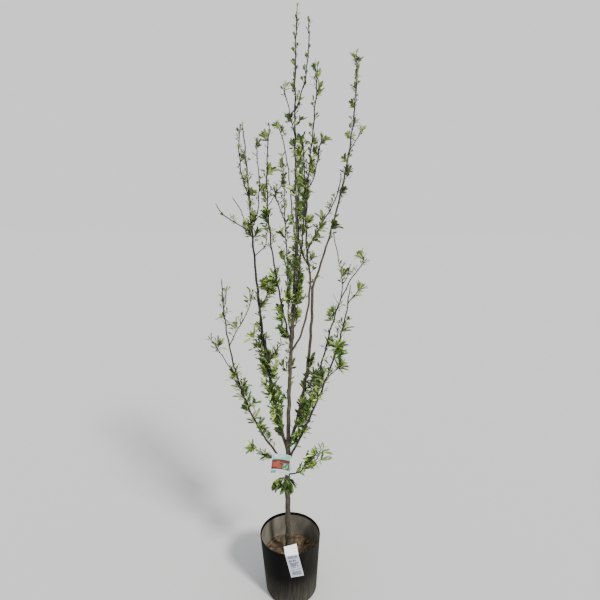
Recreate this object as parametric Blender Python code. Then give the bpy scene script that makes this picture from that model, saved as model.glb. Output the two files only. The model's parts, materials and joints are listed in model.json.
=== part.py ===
"""A young plum tree in a black nursery pot, in early spring: thin upright whips with tufts of new leaves.

Metres, +Z up. The origin is the centre of the pot's flat underside. The photograph was taken from -Y.
Each limb is one smooth curve worked out from where it leaves its parent, where its tip is, and the two
directions it has there. Leaves stand in tufts along the limbs, dealt out by a seeded rule.
"""

import math
import random
from dataclasses import dataclass

import bmesh
import bpy
import numpy as np
from mathutils import Vector

# The clearance that two neighbouring pieces keep, face to face.
GAP = 0.0003

# The pot: a thin-walled tub, wider at the rim, whose rim sits a little to the left of its base.
POT_HEIGHT = 0.267
POT_RIM_RADIUS = 0.128
POT_BASE_RADIUS = 0.109
POT_WALL = 0.0035
POT_BOTTOM = 0.004
POT_FOOT_ROUND = 0.015
POT_RIM_SHIFT = -0.009
POT_SIDES = 32
POT_MIDDLE = 0.14
FOOT_ROUND_STEPS = 3

# The potting mix inside it.
SOIL_TOP = 0.1675
SOIL_BUMP = 0.005
SOIL_RINGS = 3
TRUNK_PAD = 0.030

# The trunk and leader, from the flat cut at soil level.
TRUNK_FOOT = Vector((-0.015, 0.0, SOIL_TOP + GAP))
TRUNK_STATIONS = ((0.168, 0.0118), (0.600, 0.0104), (0.740, 0.0084), (1.150, 0.0062), (1.512, 0.0042))
ROOT_FLARE = 0.0062
ROOT_FLARE_HEIGHT = 0.022
ROOT_LOBES = 4
ROOT_LOBE_SWELL = 0.16
ROOT_LOBE_TURN = 0.6
TRUNK_SIDES = 12
TRUNK_CUT = np.array((0, 0, 1.0))
TRUNK_NEAR_FOOT = (0, 0.008, 0.02, 0.04, 0.075, 0.12, 0.19)
TRUNK_STEP = 0.09

# How limbs are drawn as solids.
BOUGH_SIDES = 7
STEM_SIDES = 3
TWIG_SIDES = 3
BOUGH_STEP = 0.055
STEM_STEP = 0.075
TWIG_STEP = 0.040
LINE_STEP = 0.004
COLLAR_SWELL = 0.25
COLLAR_LENGTH = 0.020
TAPER_POWER = 0.7
LEAST_RADIUS = 0.0014
SMOOTH_ANGLE = 35
CROOK = 0.0018
CROOK_WAVES = (0.115, 0.071)
CROOK_SETTLES = 0.05

# Tufts of leaves along the stems and twigs.
SEED = 1907
GOLDEN_TURN = math.radians(137.5)
LEAVES_IN_TUFT = 3
TUFT_STAGGER = 0.005
TURN_SLACK = math.radians(14)
LEAF_LEAN = (math.radians(34), math.radians(62))
LEAF_LIFT = 0.22
LEAF_LOW_LENGTH = 0.047
LEAF_HIGH_LENGTH = 0.037
LEAF_LOW_HEIGHT = 0.70
LEAF_HIGH_HEIGHT = 1.90
LEAF_WIDTH_SHARE = 0.40
LEAF_WIDEST = 0.52
LEAF_FOLD = 0.03
LEAF_DROOP = 0.06
LEAF_ROOT_DEPTH = 0.0005
LEAF_LENGTH_SPREAD = (0.85, 1.1)
LEAF_ROLL = 0.6
TUFT_SPREAD = (0.8, 1.2)
TIP_LEAN = math.radians(20)
TIP_INSET = 0.003
TIP_SECOND_INSET = 0.010
FIRST_TUFT = 0.022

# Short side shoots that carry a tuft at their end.
SHOOT_EVERY = 4
SHOOT_LENGTH = (0.026, 0.050)
SHOOT_LEAN = math.radians(42)
SHOOT_RADIUS = 0.0015
SHOOT_STATIONS = 9
SHOOT_TUFT_INSET = 0.009

# How far a leaf or a shoot of one mass keeps from every other limb and its leaves.
SPACE_MARGIN = 0.0022
SHOOT_MARGIN = 0.012
TRIES = 4

# The white pot label, a strip folded over the rim, and the picture card on its loop round the trunk.
TAG_WIDTH = 0.052
TAG_HANG = 0.108
TAG_STAND = 0.036
TAG_THICK = 0.0008
TAG_SKEW = math.radians(13)
TAG_STAND_LEAN = math.radians(45)
TAG_RIM_X = 0.001
TAG_ROWS = 4
TAG_STAND_ROWS = 3
TAG_COLUMNS = 2
CARD_WIDTH = 0.078
CARD_HEIGHT = 0.088
CARD_THICK = 0.0008
CARD_CENTRE = Vector((-0.051, -0.0235, 0.606))
CARD_BEND_RADIUS = 0.110
CARD_TILT = math.radians(-6)
CARD_ROWS = 2
CARD_COLUMNS = 8
CARD_ROOM = 0.004
CARD_ROOM_STEPS = 16
LOOP_HEIGHT = 0.566
LOOP_TALL = 0.007
LOOP_THICK = 0.0009
LOOP_SIDES = 16


@dataclass(frozen=True)
class Limb:
    """One limb: the height where it leaves its parent, its tip, and its (lean, heading) at both ends.

    Both are in degrees: lean from straight up, and heading from +X towards +Y. A limb with a bare_to height
    is a bough up to that height and the stem of a mass of foliage above it.
    """

    name: str
    parent: str
    at: float
    tip: tuple
    leave: tuple
    arrive: tuple
    radii: tuple
    bare_to: float = 0.0
    tufts: float = 0.064


LEADER = Limb("leader", "", 0.168, (0.003, 0.0, 1.512), (2, 181), (3, 1), (0.0118, 0.0042), bare_to=9.0)

BOUGHS = (
    Limb("left_low", "leader", 0.590, (-0.256, -0.130, 1.373),
         (42, -166), (21, -82), (0.0046, 0.0014), 0.705, 0.068),
    Limb("left_tall", "leader", 0.640, (-0.218, 0.180, 1.951),
         (18, 167), (8, 142), (0.0066, 0.0014), 0.755, 0.060),
    Limb("right_front", "leader", 0.603, (0.189, -0.160, 1.369),
         (27, -43), (20, -88), (0.0050, 0.0014), 0.730, 0.057),
    Limb("right", "leader", 0.661, (0.066, 0.050, 1.323),
         (19, 4), (2, 111), (0.0064, 0.0048), 9.0),
    Limb("right_back", "right", 0.746, (0.270, 0.100, 1.419),
         (36, 13), (43, 10), (0.0044, 0.0014), 0.850, 0.064),
    Limb("centre", "leader", 1.080, (0.053, -0.060, 1.394),
         (42, -42), (24, -99), (0.0040, 0.0032), 9.0),
)

STEMS = (
    Limb("top", "leader", 9.0, (-0.007, 0.0, 2.268),
         (2, 175), (2, -15), (0.0042, 0.0014), tufts=0.059),
    Limb("right_tall", "right", 9.0, (0.216, 0.150, 2.192),
         (19, 12), (4, 133), (0.0043, 0.0014), tufts=0.059),
    Limb("centre_front", "centre", 9.0, (0.061, -0.160, 2.050),
         (16, -137), (11, -88), (0.0031, 0.0014), tufts=0.066),
    Limb("front_left", "leader", 1.103, (-0.087, -0.170, 1.871),
         (16, -141), (12, -53), (0.0036, 0.0014), tufts=0.066),
    Limb("inner_left", "leader", 1.140, (-0.049, -0.100, 1.483),
         (24, -125), (29, -133), (0.0025, 0.0014), tufts=0.057),
    Limb("inner_back", "leader", 1.254, (-0.057, 0.120, 1.816),
         (16, 129), (13, 107), (0.0025, 0.0014), tufts=0.057),
    Limb("back_left", "leader", 1.486, (-0.077, 0.200, 1.943),
         (29, 112), (32, 129), (0.0028, 0.0014), tufts=0.070),
    Limb("front", "leader", 1.213, (0.020, -0.190, 1.830),
         (15, -62), (21, -105), (0.0032, 0.0014), tufts=0.066),
    Limb("back", "leader", 0.981, (-0.002, 0.200, 1.787),
         (14, 75), (14, 104), (0.0036, 0.0014), tufts=0.070),
    Limb("back_low", "leader", 0.853, (0.003, 0.210, 1.373),
         (23, 102), (20, 88), (0.0032, 0.0014), tufts=0.070),
    Limb("low_right", "leader", 0.544, (0.109, -0.050, 0.686),
         (83, -14), (17, -64), (0.0026, 0.0014), tufts=0.036),
    Limb("low_left", "leader", 0.572, (-0.167, -0.030, 0.687),
         (47, -168), (44, -166), (0.0020, 0.0014), tufts=0.072),
    Limb("low_front", "leader", 0.552, (-0.036, -0.050, 0.546),
         (94, -97), (92, -91), (0.0020, 0.0016), tufts=0.020),
)

# The longer side twigs, each part of the mass it grows from.
TWIGS = (
    Limb("left_low_outer", "left_low", 0.996, (-0.301, -0.100, 1.145),
         (46, -155), (39, -147), (0.0018, 0.0014)),
    Limb("left_low_inner", "left_low", 1.118, (-0.164, -0.020, 1.309),
         (25, 31), (12, 81), (0.0018, 0.0014)),
    Limb("left_outer", "left_tall", 1.504, (-0.295, 0.020, 1.631),
         (23, -133), (25, -142), (0.0024, 0.0014), tufts=0.120),
    Limb("left_outer_back", "left_outer", 1.547, (-0.256, 0.160, 1.661),
         (28, 97), (51, 142), (0.0018, 0.0014), tufts=0.112),
    Limb("left_second", "left_tall", 1.662, (-0.210, 0.050, 1.908),
         (28, -139), (21, -59), (0.0022, 0.0014)),
    Limb("left_twin", "left_tall", 0.949, (-0.113, -0.030, 1.152),
         (18, -77), (17, -102), (0.0022, 0.0014)),
    Limb("left_inner", "left_tall", 1.568, (-0.057, 0.050, 1.713),
         (61, -21), (40, -30), (0.0016, 0.0014)),
    Limb("top_right", "top", 1.957, (0.032, -0.060, 2.215),
         (28, -24), (14, -112), (0.0022, 0.0014)),
    Limb("top_back", "top", 1.864, (-0.051, 0.050, 2.048),
         (19, 127), (20, 131), (0.0018, 0.0014)),
    Limb("centre_side", "centre_front", 1.691, (0.078, -0.190, 1.833),
         (46, -21), (29, -40), (0.0018, 0.0014)),
    Limb("centre_right", "centre_front", 1.468, (0.150, -0.100, 1.743),
         (15, -5), (3, 167), (0.0022, 0.0014)),
    Limb("left_rise", "left_tall", 1.546, (-0.157, 0.110, 1.868),
         (26, -3), (4, -144), (0.0022, 0.0014), tufts=0.090),
    Limb("left_cluster", "left_tall", 1.235, (-0.101, 0.020, 1.337),
         (41, -37), (24, -84), (0.0020, 0.0014), tufts=0.026),
    Limb("left_spur", "left_tall", 1.437, (-0.113, 0.060, 1.514),
         (54, -37), (28, -94), (0.0017, 0.0014), tufts=0.030),
    Limb("left_twin_side", "left_twin", 1.035, (-0.056, -0.030, 1.112),
         (48, -40), (48, -40), (0.0017, 0.0014), tufts=0.030),
    Limb("left_low_fork", "left_low", 1.270, (-0.246, -0.100, 1.326),
         (30, 20), (10, 0), (0.0016, 0.0014), tufts=0.030),
    Limb("inner_back_side", "inner_back", 1.568, (-0.078, 0.090, 1.703),
         (14, 165), (15, -1), (0.0020, 0.0014)),
    Limb("centre_left", "centre_front", 1.425, (0.004, -0.050, 1.669),
         (39, 175), (5, 137), (0.0034, 0.0014)),
    Limb("right_spike", "right_back", 1.258, (0.148, 0.120, 1.538),
         (22, 22), (10, 126), (0.0020, 0.0014), tufts=0.120),
    Limb("right_fork", "right_spike", 1.333, (0.214, 0.080, 1.412),
         (43, -9), (13, -35), (0.0016, 0.0014)),
    Limb("right_side", "right_front", 1.300, (0.222, -0.130, 1.352),
         (24, 10), (18, 14), (0.0018, 0.0014), tufts=0.040),
    Limb("right_front_side", "right_front", 1.009, (0.160, -0.140, 1.069),
         (57, -44), (47, -55), (0.0018, 0.0014), tufts=0.040),
    Limb("right_tall_side", "right_tall", 1.844, (0.241, 0.150, 1.923),
         (37, 40), (30, 59), (0.0018, 0.0014), tufts=0.040),
)


def direction(lean, heading):
    """The unit vector that leans this many degrees from straight up, towards this heading."""
    lean, heading = math.radians(lean), math.radians(heading)
    out = math.sin(lean)
    return np.array((out * math.cos(heading), out * math.sin(heading), math.cos(lean)))


def unit(vector):
    return vector / np.linalg.norm(vector)


def curve_line(foot, tip, leave, arrive, crook_seed):
    """Points LINE_STEP apart along the cubic from foot to tip, with slight crooks as a plum whip has."""
    foot, tip = np.array(foot), np.array(tip)
    chord = np.linalg.norm(tip - foot)
    out, back = direction(*leave) * chord, direction(*arrive) * chord
    t = np.linspace(0, 1, max(8, int(chord / LINE_STEP)))[:, None]
    line = (2 * t**3 - 3 * t**2 + 1) * foot + (t**3 - 2 * t**2 + t) * out
    line += (3 * t**2 - 2 * t**3) * tip + (t**3 - t**2) * back
    along = lengths(line)
    rule = random.Random(crook_seed)
    settle = np.clip(np.minimum(along, along[-1] - along) / CROOK_SETTLES, 0, 1)
    for axis in (0, 1):
        for wave in CROOK_WAVES:
            phase = rule.uniform(0, math.tau)
            line[:, axis] += CROOK / 2 * settle * np.sin(math.tau * along / wave + phase)
    return line


def lengths(line):
    """How far along the line each of its points is."""
    return np.concatenate(([0], np.cumsum(np.linalg.norm(np.diff(line, axis=0), axis=1))))


def marks_at(line, places):
    """The indices of the points nearest to these distances along the line."""
    along = lengths(line)
    return np.unique([int(np.argmin(np.abs(along - place))) for place in places])


def evenly(start, end, step):
    """Distances from start to end, about a step apart."""
    return np.linspace(start, end, max(2, 1 + round((end - start) / step)))


def straighten(line, marks):
    """The line drawn straight between its marks, and where the marks are on it."""
    runs, moved = [line[marks[:1]]], [0]
    for a, b in zip(line[marks], line[marks[1:]]):
        steps = max(1, round(np.linalg.norm(b - a) / LINE_STEP))
        runs.append(a + np.arange(1, steps + 1)[:, None] / steps * (b - a))
        moved.append(moved[-1] + steps)
    return np.concatenate(runs), np.array(moved)


def limb_radii(limb, line):
    """The radius at each point of a limb: it tapers to the tip and swells into a collar at its foot."""
    along = lengths(line)
    foot, tip = limb.radii
    radii = tip + (foot - tip) * (1 - along / along[-1]) ** TAPER_POWER
    radii *= 1 + COLLAR_SWELL * np.exp(-along / COLLAR_LENGTH)
    return np.maximum(radii, LEAST_RADIUS)


def trunk_radii(line):
    heights, radii = zip(*TRUNK_STATIONS)
    flare = ROOT_FLARE * np.exp(-(line[:, 2] - line[0, 2]) / ROOT_FLARE_HEIGHT)
    return np.interp(line[:, 2], heights, radii) + flare


def at_height(line, height):
    """The index of the point of a line at this height, or of its tip where the line doesn't reach it."""
    if height > line[-1, 2]:
        return len(line) - 1
    return int(np.argmin(np.abs(line[:, 2] - height)))


def frames(line):
    """For each point, two unit vectors across the line that turn with it and never twist about it."""
    tangents = np.gradient(line, axis=0)
    tangents /= np.linalg.norm(tangents, axis=1)[:, None]
    start = np.cross(tangents[0], (0, 1, 0))
    across = [unit(start if np.linalg.norm(start) > 0.1 else np.cross(tangents[0], (1, 0, 0)))]
    for tangent in tangents[1:]:
        across.append(unit(across[-1] - np.dot(across[-1], tangent) * tangent))
    across = np.array(across)
    return across, np.cross(tangents, across)


def rings(line, radii, sides):
    """A ring of points round each point of the line: an array of stations by sides by 3."""
    across, beside = frames(line)
    turns = (np.arange(sides) * math.tau / sides)[None, :, None]
    offsets = across[:, None] * np.cos(turns) + beside[:, None] * np.sin(turns)
    return line[:, None] + radii[:, None, None] * offsets


def tube_faces(stations, sides, foot_centre=False):
    """Triangles of a closed tube. The first end is flat, or meets in a centre given after the rings."""
    faces = []
    for k in range(stations - 1):
        for j in range(sides):
            a, b = k * sides + j, k * sides + (j + 1) % sides
            faces += [(a, b, b + sides), (a, b + sides, a + sides)]
    last = (stations - 1) * sides
    faces += [(last, last + j, last + j + 1) for j in range(1, sides - 1)]
    if foot_centre:
        return faces + [(stations * sides, (j + 1) % sides, j) for j in range(sides)]
    return faces + [(0, j + 1, j) for j in range(1, sides - 1)]


@dataclass(frozen=True)
class Seat:
    """Where a limb's tube starts: its first ring, that ring's centre, and the last index they replace."""

    ring: np.ndarray
    centre: np.ndarray
    last: int


def tube(line, radii, sides, marks, seat=None):
    """Points and faces of a tube with a ring at each mark, and a given start."""
    all_rings = rings(line, radii, sides)
    if seat is None:
        return all_rings[marks].reshape(-1, 3), tube_faces(len(marks), sides)
    kept = np.concatenate((seat.ring[None], all_rings[marks[marks > seat.last]]))
    return np.concatenate((kept.reshape(-1, 3), seat.centre[None])), tube_faces(len(kept), sides, True)


def tube_edges(line, radii, sides, marks):
    """Where each long edge of the tube is beside each point of the line: straight between the marks."""
    at_marks = rings(line, radii, sides)[marks]
    places = np.arange(len(line))
    after = np.clip(np.searchsorted(marks, places), 1, len(marks) - 1)
    share = (places - marks[after - 1]) / (marks[after] - marks[after - 1])
    return at_marks[after - 1] + share[:, None, None] * (at_marks[after] - at_marks[after - 1])


def distances(points, line):
    """How far each point is from the nearest point of the line, and which one that is."""
    apart = np.linalg.norm(points[:, None] - line[None], axis=2)
    nearest = apart.argmin(axis=1)
    return apart[np.arange(len(points)), nearest], nearest


def seat_on_side(line, radii, sides, marks, parent_line, parent_radii):
    """The seat of a limb on the side of its parent, one clearance off it.

    Each edge of the tube, and its centre line, starts where it comes clear of the parent. The clearance
    grows by the sagitta of half the limb over the parent, so the flat faces between stay clear too.
    """
    edges = tube_edges(line, radii, sides, marks)
    tracks = [edges[:, side] for side in range(sides)] + [line]
    half = radii * max(0.5, math.sin(math.pi / sides))
    starts, places = [], []
    for track in tracks:
        apart, nearest = distances(track, parent_line)
        into = np.sqrt((parent_radii[nearest] + GAP) ** 2 + half**2) - apart
        first = max(1, int(np.argmax(into <= 0)))
        share = into[first - 1] / (into[first - 1] - into[first])
        places.append(track[first - 1] + share * (track[first] - track[first - 1]))
        starts.append(first)
    return Seat(np.array(places[:-1]), places[-1], max(starts))


def seat_on_tip(line, radii, sides, marks, tip, pointing):
    """The seat of a limb that carries on from its parent's flat tip, one clearance beyond it."""
    edges = tube_edges(line, radii, sides, marks)
    starts, places = [], []
    for track in [edges[:, side] for side in range(sides)] + [line]:
        beyond = (track - tip) @ pointing - GAP
        first = max(1, int(np.argmax(beyond >= 0)))
        share = -beyond[first - 1] / (beyond[first] - beyond[first - 1])
        places.append(track[first - 1] + share * (track[first] - track[first - 1]))
        starts.append(first)
    return Seat(np.array(places[:-1]), places[-1], max(starts))


def material(name, colour, roughness):
    """A Principled material of one colour."""
    made = bpy.data.materials.new(name)
    made.use_nodes = True
    shader = made.node_tree.nodes["Principled BSDF"]
    shader.inputs["Base Color"].default_value = (*colour, 1)
    shader.inputs["Roughness"].default_value = roughness
    shader.inputs["Metallic"].default_value = 0.0
    made.diffuse_color = (*colour, 1)
    return made


BARK = ((0.16, 0.12, 0.09), 0.8)
YOUNG_BARK = ((0.10, 0.055, 0.045), 0.6)
LEAF_GREEN = ((0.22, 0.33, 0.06), 0.5)
POT_BLACK = ((0.02, 0.02, 0.023), 0.35)
SOIL_BROWN = ((0.10, 0.075, 0.055), 0.95)
PAPER_WHITE = ((0.85, 0.86, 0.88), 0.5)
CARD_TEAL = ((0.35, 0.68, 0.62), 0.4)


def mesh_object(name, points, faces, finish):
    """A mesh object of one material that isn't in the scene yet."""
    mesh = bpy.data.meshes.new(name)
    mesh.from_pydata([tuple(point) for point in points], [], [tuple(face) for face in faces])
    mesh.update()
    mesh.materials.append(finish)
    return bpy.data.objects.new(name, mesh)


def solid(name, points, faces, finish):
    """A piece of the plant or its pot: an object in the scene with its own material."""
    made = mesh_object(name, points, faces, material(name, *finish))
    bpy.context.scene.collection.objects.link(made)
    made.data.shade_smooth()
    made.data.set_sharp_from_angle(angle=math.radians(SMOOTH_ANGLE))
    return made


def card_back(rows, columns):
    """Points over the back of the picture card, which is bent round an upright axis and a little tilted."""
    turns = np.linspace(-0.5, 0.5, columns + 1)[None, :] * CARD_WIDTH / CARD_BEND_RADIUS
    up = np.linspace(-0.5, 0.5, rows + 1)[:, None] * CARD_HEIGHT
    across = CARD_BEND_RADIUS * np.sin(turns)
    x = across * math.cos(CARD_TILT) - up * math.sin(CARD_TILT)
    z = across * math.sin(CARD_TILT) + up * math.cos(CARD_TILT)
    y = np.broadcast_to(CARD_BEND_RADIUS * (np.cos(turns) - 1), x.shape)
    return np.array(CARD_CENTRE) + np.stack((x, y, z), axis=2)


def station_places(limb, line):
    """How far along a limb its solid has rings. A bough that carries on as a stem has one at the change."""
    along = lengths(line)
    if limb == LEADER:
        return (*TRUNK_NEAR_FOOT, *evenly(TRUNK_NEAR_FOOT[-1], along[-1], TRUNK_STEP))
    if limb in BOUGHS:
        change = along[at_height(line, limb.bare_to)]
        if change == along[-1]:
            return evenly(0, change, BOUGH_STEP)
        return (*evenly(0, change, BOUGH_STEP), *evenly(change, along[-1], STEM_STEP))
    return evenly(0, along[-1], TWIG_STEP if limb in TWIGS else STEM_STEP)


class Tree:
    """The lines of all limbs, and which mass each belongs to."""

    def __init__(self):
        self.lines, self.radii, self.marks, self.owner = {}, {}, {}, {}
        self.grow(LEADER, "trunk")
        for limb in BOUGHS + STEMS:
            self.grow(limb, "foliage_" + limb.name)
        for limb in TWIGS:
            self.grow(limb, self.owner[limb.parent])
        self.points = np.concatenate([line for line in self.lines.values()])
        self.thick = np.concatenate([self.radii[name] for name in self.lines])
        self.owners = np.concatenate([self.owners_along(name) for name in self.lines])
        self.take("label_card", card_back(CARD_ROOM_STEPS, CARD_ROOM_STEPS).reshape(-1, 3), CARD_ROOM)

    def grow(self, limb, owner):
        if limb.parent:
            parent = self.lines[limb.parent]
            foot = parent[at_height(parent, limb.at)]
        else:
            foot = TRUNK_FOOT
        smooth = curve_line(foot, limb.tip, limb.leave, limb.arrive, SEED + len(self.lines))
        line, marks = straighten(smooth, marks_at(smooth, station_places(limb, smooth)))
        radii = limb_radii(limb, line) if limb.parent else trunk_radii(line)
        self.lines[limb.name] = line
        self.radii[limb.name] = np.interp(np.arange(len(line)), marks, radii[marks])
        self.marks[limb.name] = marks
        self.owner[limb.name] = owner

    def owners_along(self, name):
        """The node each point of a limb belongs to: its bough up to the bare height, and its mass above."""
        line = self.lines[name]
        limb = next((one for one in BOUGHS if one.name == name), None)
        owners = np.full(len(line), self.owner[name], dtype=object)
        if limb:
            owners[: at_height(line, limb.bare_to) + 1] = "bough_" + name
        return owners

    def take(self, owner, line, radius):
        """Adds points that everything else keeps clear of, such as a seeded shoot."""
        self.points = np.concatenate((self.points, line))
        self.thick = np.concatenate((self.thick, np.full(len(line), radius)))
        self.owners = np.concatenate((self.owners, np.full(len(line), owner, dtype=object)))

    def own_and_other(self, points, owner):
        """How far each point is from its own mass's limbs, and from the skin of every other limb."""
        apart = np.linalg.norm(points[:, None] - self.points[None], axis=2)
        own = self.owners == owner
        return apart[:, own].min(axis=1), (apart[:, ~own] - self.thick[None, ~own]).min(axis=1)

    def in_space(self, points, owner):
        own, other = self.own_and_other(points, owner)
        return bool((own + SPACE_MARGIN < other).all())


def leaf_points(root, pointing, length, roll):
    """The five corners of a leaf: root, tip, the two sides at its widest, and the back of its midrib."""
    across = unit(np.cross(pointing, (0, 0, 1)) + 1e-6)
    facing = np.cross(across, pointing)
    across, facing = (math.cos(roll) * across + math.sin(roll) * facing,
                      math.cos(roll) * facing - math.sin(roll) * across)
    facing = facing if facing[2] > 0 else -facing
    foot = root - pointing * LEAF_ROOT_DEPTH
    middle = foot + pointing * length * LEAF_WIDEST
    tip = foot + pointing * length - facing * length * LEAF_DROOP
    side = across * length * LEAF_WIDTH_SHARE / 2
    fold = facing * length * LEAF_FOLD
    return np.array((foot, tip, middle + side + fold, middle - side + fold, middle - fold / 2))


LEAF_FACES = ((0, 2, 3), (1, 3, 2), (0, 4, 2), (0, 3, 4), (1, 2, 4), (1, 4, 3))


def facing_out(points, faces):
    """The same faces, turned round if they enclose a negative volume."""
    corners = np.array(points)[np.array(faces)]
    volume = np.einsum("ij,ij->i", corners[:, 0], np.cross(corners[:, 1], corners[:, 2])).sum()
    return faces if volume > 0 else [face[::-1] for face in faces]


def leaf_probe(points):
    """Places over a leaf that all have to lie in its mass's space."""
    foot, tip, left, right, back = points
    between = [(foot + left) / 2, (foot + right) / 2, (tip + left) / 2, (tip + right) / 2]
    return np.array([tip, left, right, back, *between, (tip + back) / 2])


class Mass:
    """One mass of foliage: a stem, its twigs and shoots, and the leaves fused on them."""

    def __init__(self, tree, name, seed):
        self.tree, self.name = tree, name
        self.bark = material(name + "_bark", *YOUNG_BARK)
        self.green = material(name + "_leaf", *LEAF_GREEN)
        self.rule = random.Random(seed)
        self.pieces = []
        self.sides = STEM_SIDES

    def add(self, points, faces, finish):
        name = f"{self.name}_{len(self.pieces)}"
        self.pieces.append(mesh_object(name, points, facing_out(points, faces), finish))

    def leaf(self, root, frame, turn, lean):
        """One leaf at a root on a stem. It is skipped where no try keeps it in the mass's space."""
        tangent, across, beside = frame
        rise = np.clip((root[2] - LEAF_LOW_HEIGHT) / (LEAF_HIGH_HEIGHT - LEAF_LOW_HEIGHT), 0, 1)
        length = (LEAF_LOW_LENGTH + (LEAF_HIGH_LENGTH - LEAF_LOW_LENGTH) * rise)
        length *= self.rule.uniform(*LEAF_LENGTH_SPREAD)
        roll = self.rule.uniform(-LEAF_ROLL, LEAF_ROLL)
        for attempt in range(TRIES):
            turned = self.to_face(turn + attempt * GOLDEN_TURN)
            out = math.cos(turned) * across + math.sin(turned) * beside
            pointing = unit(math.cos(lean) * tangent + math.sin(lean) * out + np.array((0, 0, LEAF_LIFT)))
            points = leaf_points(root, pointing, length, roll)
            if self.tree.in_space(leaf_probe(points), self.name):
                self.add(points, LEAF_FACES, self.green)
                return

    def to_face(self, turn):
        """The turn of the stem's face nearest to this one, so that a root goes through no edge."""
        faces = math.tau / self.sides
        return (math.floor(turn / faces) + 0.5) * faces + self.rule.uniform(-TURN_SLACK, TURN_SLACK)

    def tuft(self, root, frame, turn):
        """Leaves that leave the stem close above one another, each on a face of its own."""
        for number in range(LEAVES_IN_TUFT):
            lean = self.rule.uniform(*LEAF_LEAN)
            place = root + frame[0] * TUFT_STAGGER * number
            self.leaf(place, frame, turn + number * math.tau / self.sides, lean)

    def shoot(self, root, frame, turn):
        """A short side shoot with a tuft at its end, if it stays clear of every other limb."""
        tangent, across, beside = frame
        turn = self.to_face(turn)
        out = math.cos(turn) * across + math.sin(turn) * beside
        reach = self.rule.uniform(*SHOOT_LENGTH)
        pointing = unit(math.cos(SHOOT_LEAN) * tangent + math.sin(SHOOT_LEAN) * out)
        tip = root + pointing * reach + np.array((0, 0, LEAF_LIFT * reach))
        line = root + np.linspace(0, 1, SHOOT_STATIONS)[:, None] * (tip - root)
        own, other = self.tree.own_and_other(line[2:], self.name)
        if other.min() < SHOOT_MARGIN or not self.tree.in_space(line[2:], self.name):
            self.tuft(root, frame, turn)
            return
        self.tree.take(self.name, line[2:], SHOOT_RADIUS)
        ends = np.array((0, SHOOT_STATIONS - 1))
        self.add(*tube(line, np.full(SHOOT_STATIONS, SHOOT_RADIUS), TWIG_SIDES, ends), self.bark)
        sides, self.sides = self.sides, TWIG_SIDES
        ways = frames(line)
        end_frame = unit(tip - root), ways[0][-1], ways[1][-1]
        self.tuft(tip - end_frame[0] * SHOOT_TUFT_INSET, end_frame, turn)
        self.leaf(tip - end_frame[0] * TIP_INSET, end_frame, turn + math.pi, TIP_LEAN)
        self.sides = sides

    def dress(self, limb, line, start):
        """Tufts and shoots along a limb from this index on, and two leaves at its tip."""
        self.sides = TWIG_SIDES if limb in TWIGS else STEM_SIDES
        along = lengths(line)
        ways = frames(line)
        place = along[start] + FIRST_TUFT
        number = 0
        turn = self.rule.uniform(0, math.tau)
        while place < along[-1] - limb.tufts / 2:
            k = int(np.argmin(np.abs(along - place)))
            frame = unit(line[min(k + 1, len(line) - 1)] - line[k - 1]), ways[0][k], ways[1][k]
            number += 1
            turn += GOLDEN_TURN
            if number % SHOOT_EVERY == 0:
                self.shoot(line[k], frame, turn)
            else:
                self.tuft(line[k], frame, turn)
            place += limb.tufts * self.rule.uniform(*TUFT_SPREAD)
        frame = unit(line[-1] - line[-3]), ways[0][-1], ways[1][-1]
        self.leaf(line[-1] - frame[0] * TIP_INSET, frame, turn, TIP_LEAN)
        self.leaf(line[-1] - frame[0] * TIP_SECOND_INSET, frame, turn + math.pi, 2 * TIP_LEAN)

    def join(self, stem):
        """Fuses the leaves and twigs to the stem by one union, and drops any loose scrap."""
        group = bpy.data.collections.new(self.name + "_pieces")
        bpy.context.scene.collection.children.link(group)
        for piece in self.pieces:
            group.objects.link(piece)
        union = stem.modifiers.new("join", "BOOLEAN")
        union.operation = "UNION"
        union.operand_type = "COLLECTION"
        union.collection = group
        union.solver = "EXACT"
        union.material_mode = "TRANSFER"
        graph = bpy.context.evaluated_depsgraph_get()
        joined = bpy.data.meshes.new_from_object(stem.evaluated_get(graph))
        stem.modifiers.remove(union)
        for piece in self.pieces:
            bpy.data.objects.remove(piece)
        bpy.data.collections.remove(group)
        old = stem.data
        stem.data = joined
        bpy.data.meshes.remove(old)
        keep_largest(stem.data)
        stem.data.shade_flat()


def keep_largest(mesh):
    """Keeps only the body of the mesh with the most vertices."""
    work = bmesh.new()
    work.from_mesh(mesh)
    left, bodies = set(work.verts), []
    while left:
        edge_of = [left.pop()]
        body = set(edge_of)
        while edge_of:
            vertex = edge_of.pop()
            for edge in vertex.link_edges:
                other = edge.other_vert(vertex)
                if other not in body:
                    body.add(other)
                    edge_of.append(other)
        left -= body
        bodies.append(body)
    bodies.sort(key=len)
    scraps = [vertex for body in bodies[:-1] for vertex in body]
    bmesh.ops.delete(work, geom=scraps, context="VERTS")
    work.to_mesh(mesh)
    work.free()


def build_trunk(tree):
    """The trunk and leader: level rings, a root flare with low lobes, and a flat cut at the soil."""
    line, radii, marks = tree.lines["leader"], tree.radii["leader"], tree.marks["leader"]
    along = lengths(line)
    turns = np.arange(TRUNK_SIDES) * math.tau / TRUNK_SIDES
    points = []
    for k in marks:
        swell = ROOT_LOBE_SWELL * math.exp(-along[k] / ROOT_FLARE_HEIGHT)
        lobes = 1 + swell * np.cos(ROOT_LOBES * turns + ROOT_LOBE_TURN)
        for turn, lobe in zip(turns, lobes):
            points.append(line[k] + radii[k] * lobe * np.array((math.cos(turn), math.sin(turn), 0)))
    faces = tube_faces(len(marks), TRUNK_SIDES)
    solid("trunk", points, facing_out(points, faces), BARK)


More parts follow.
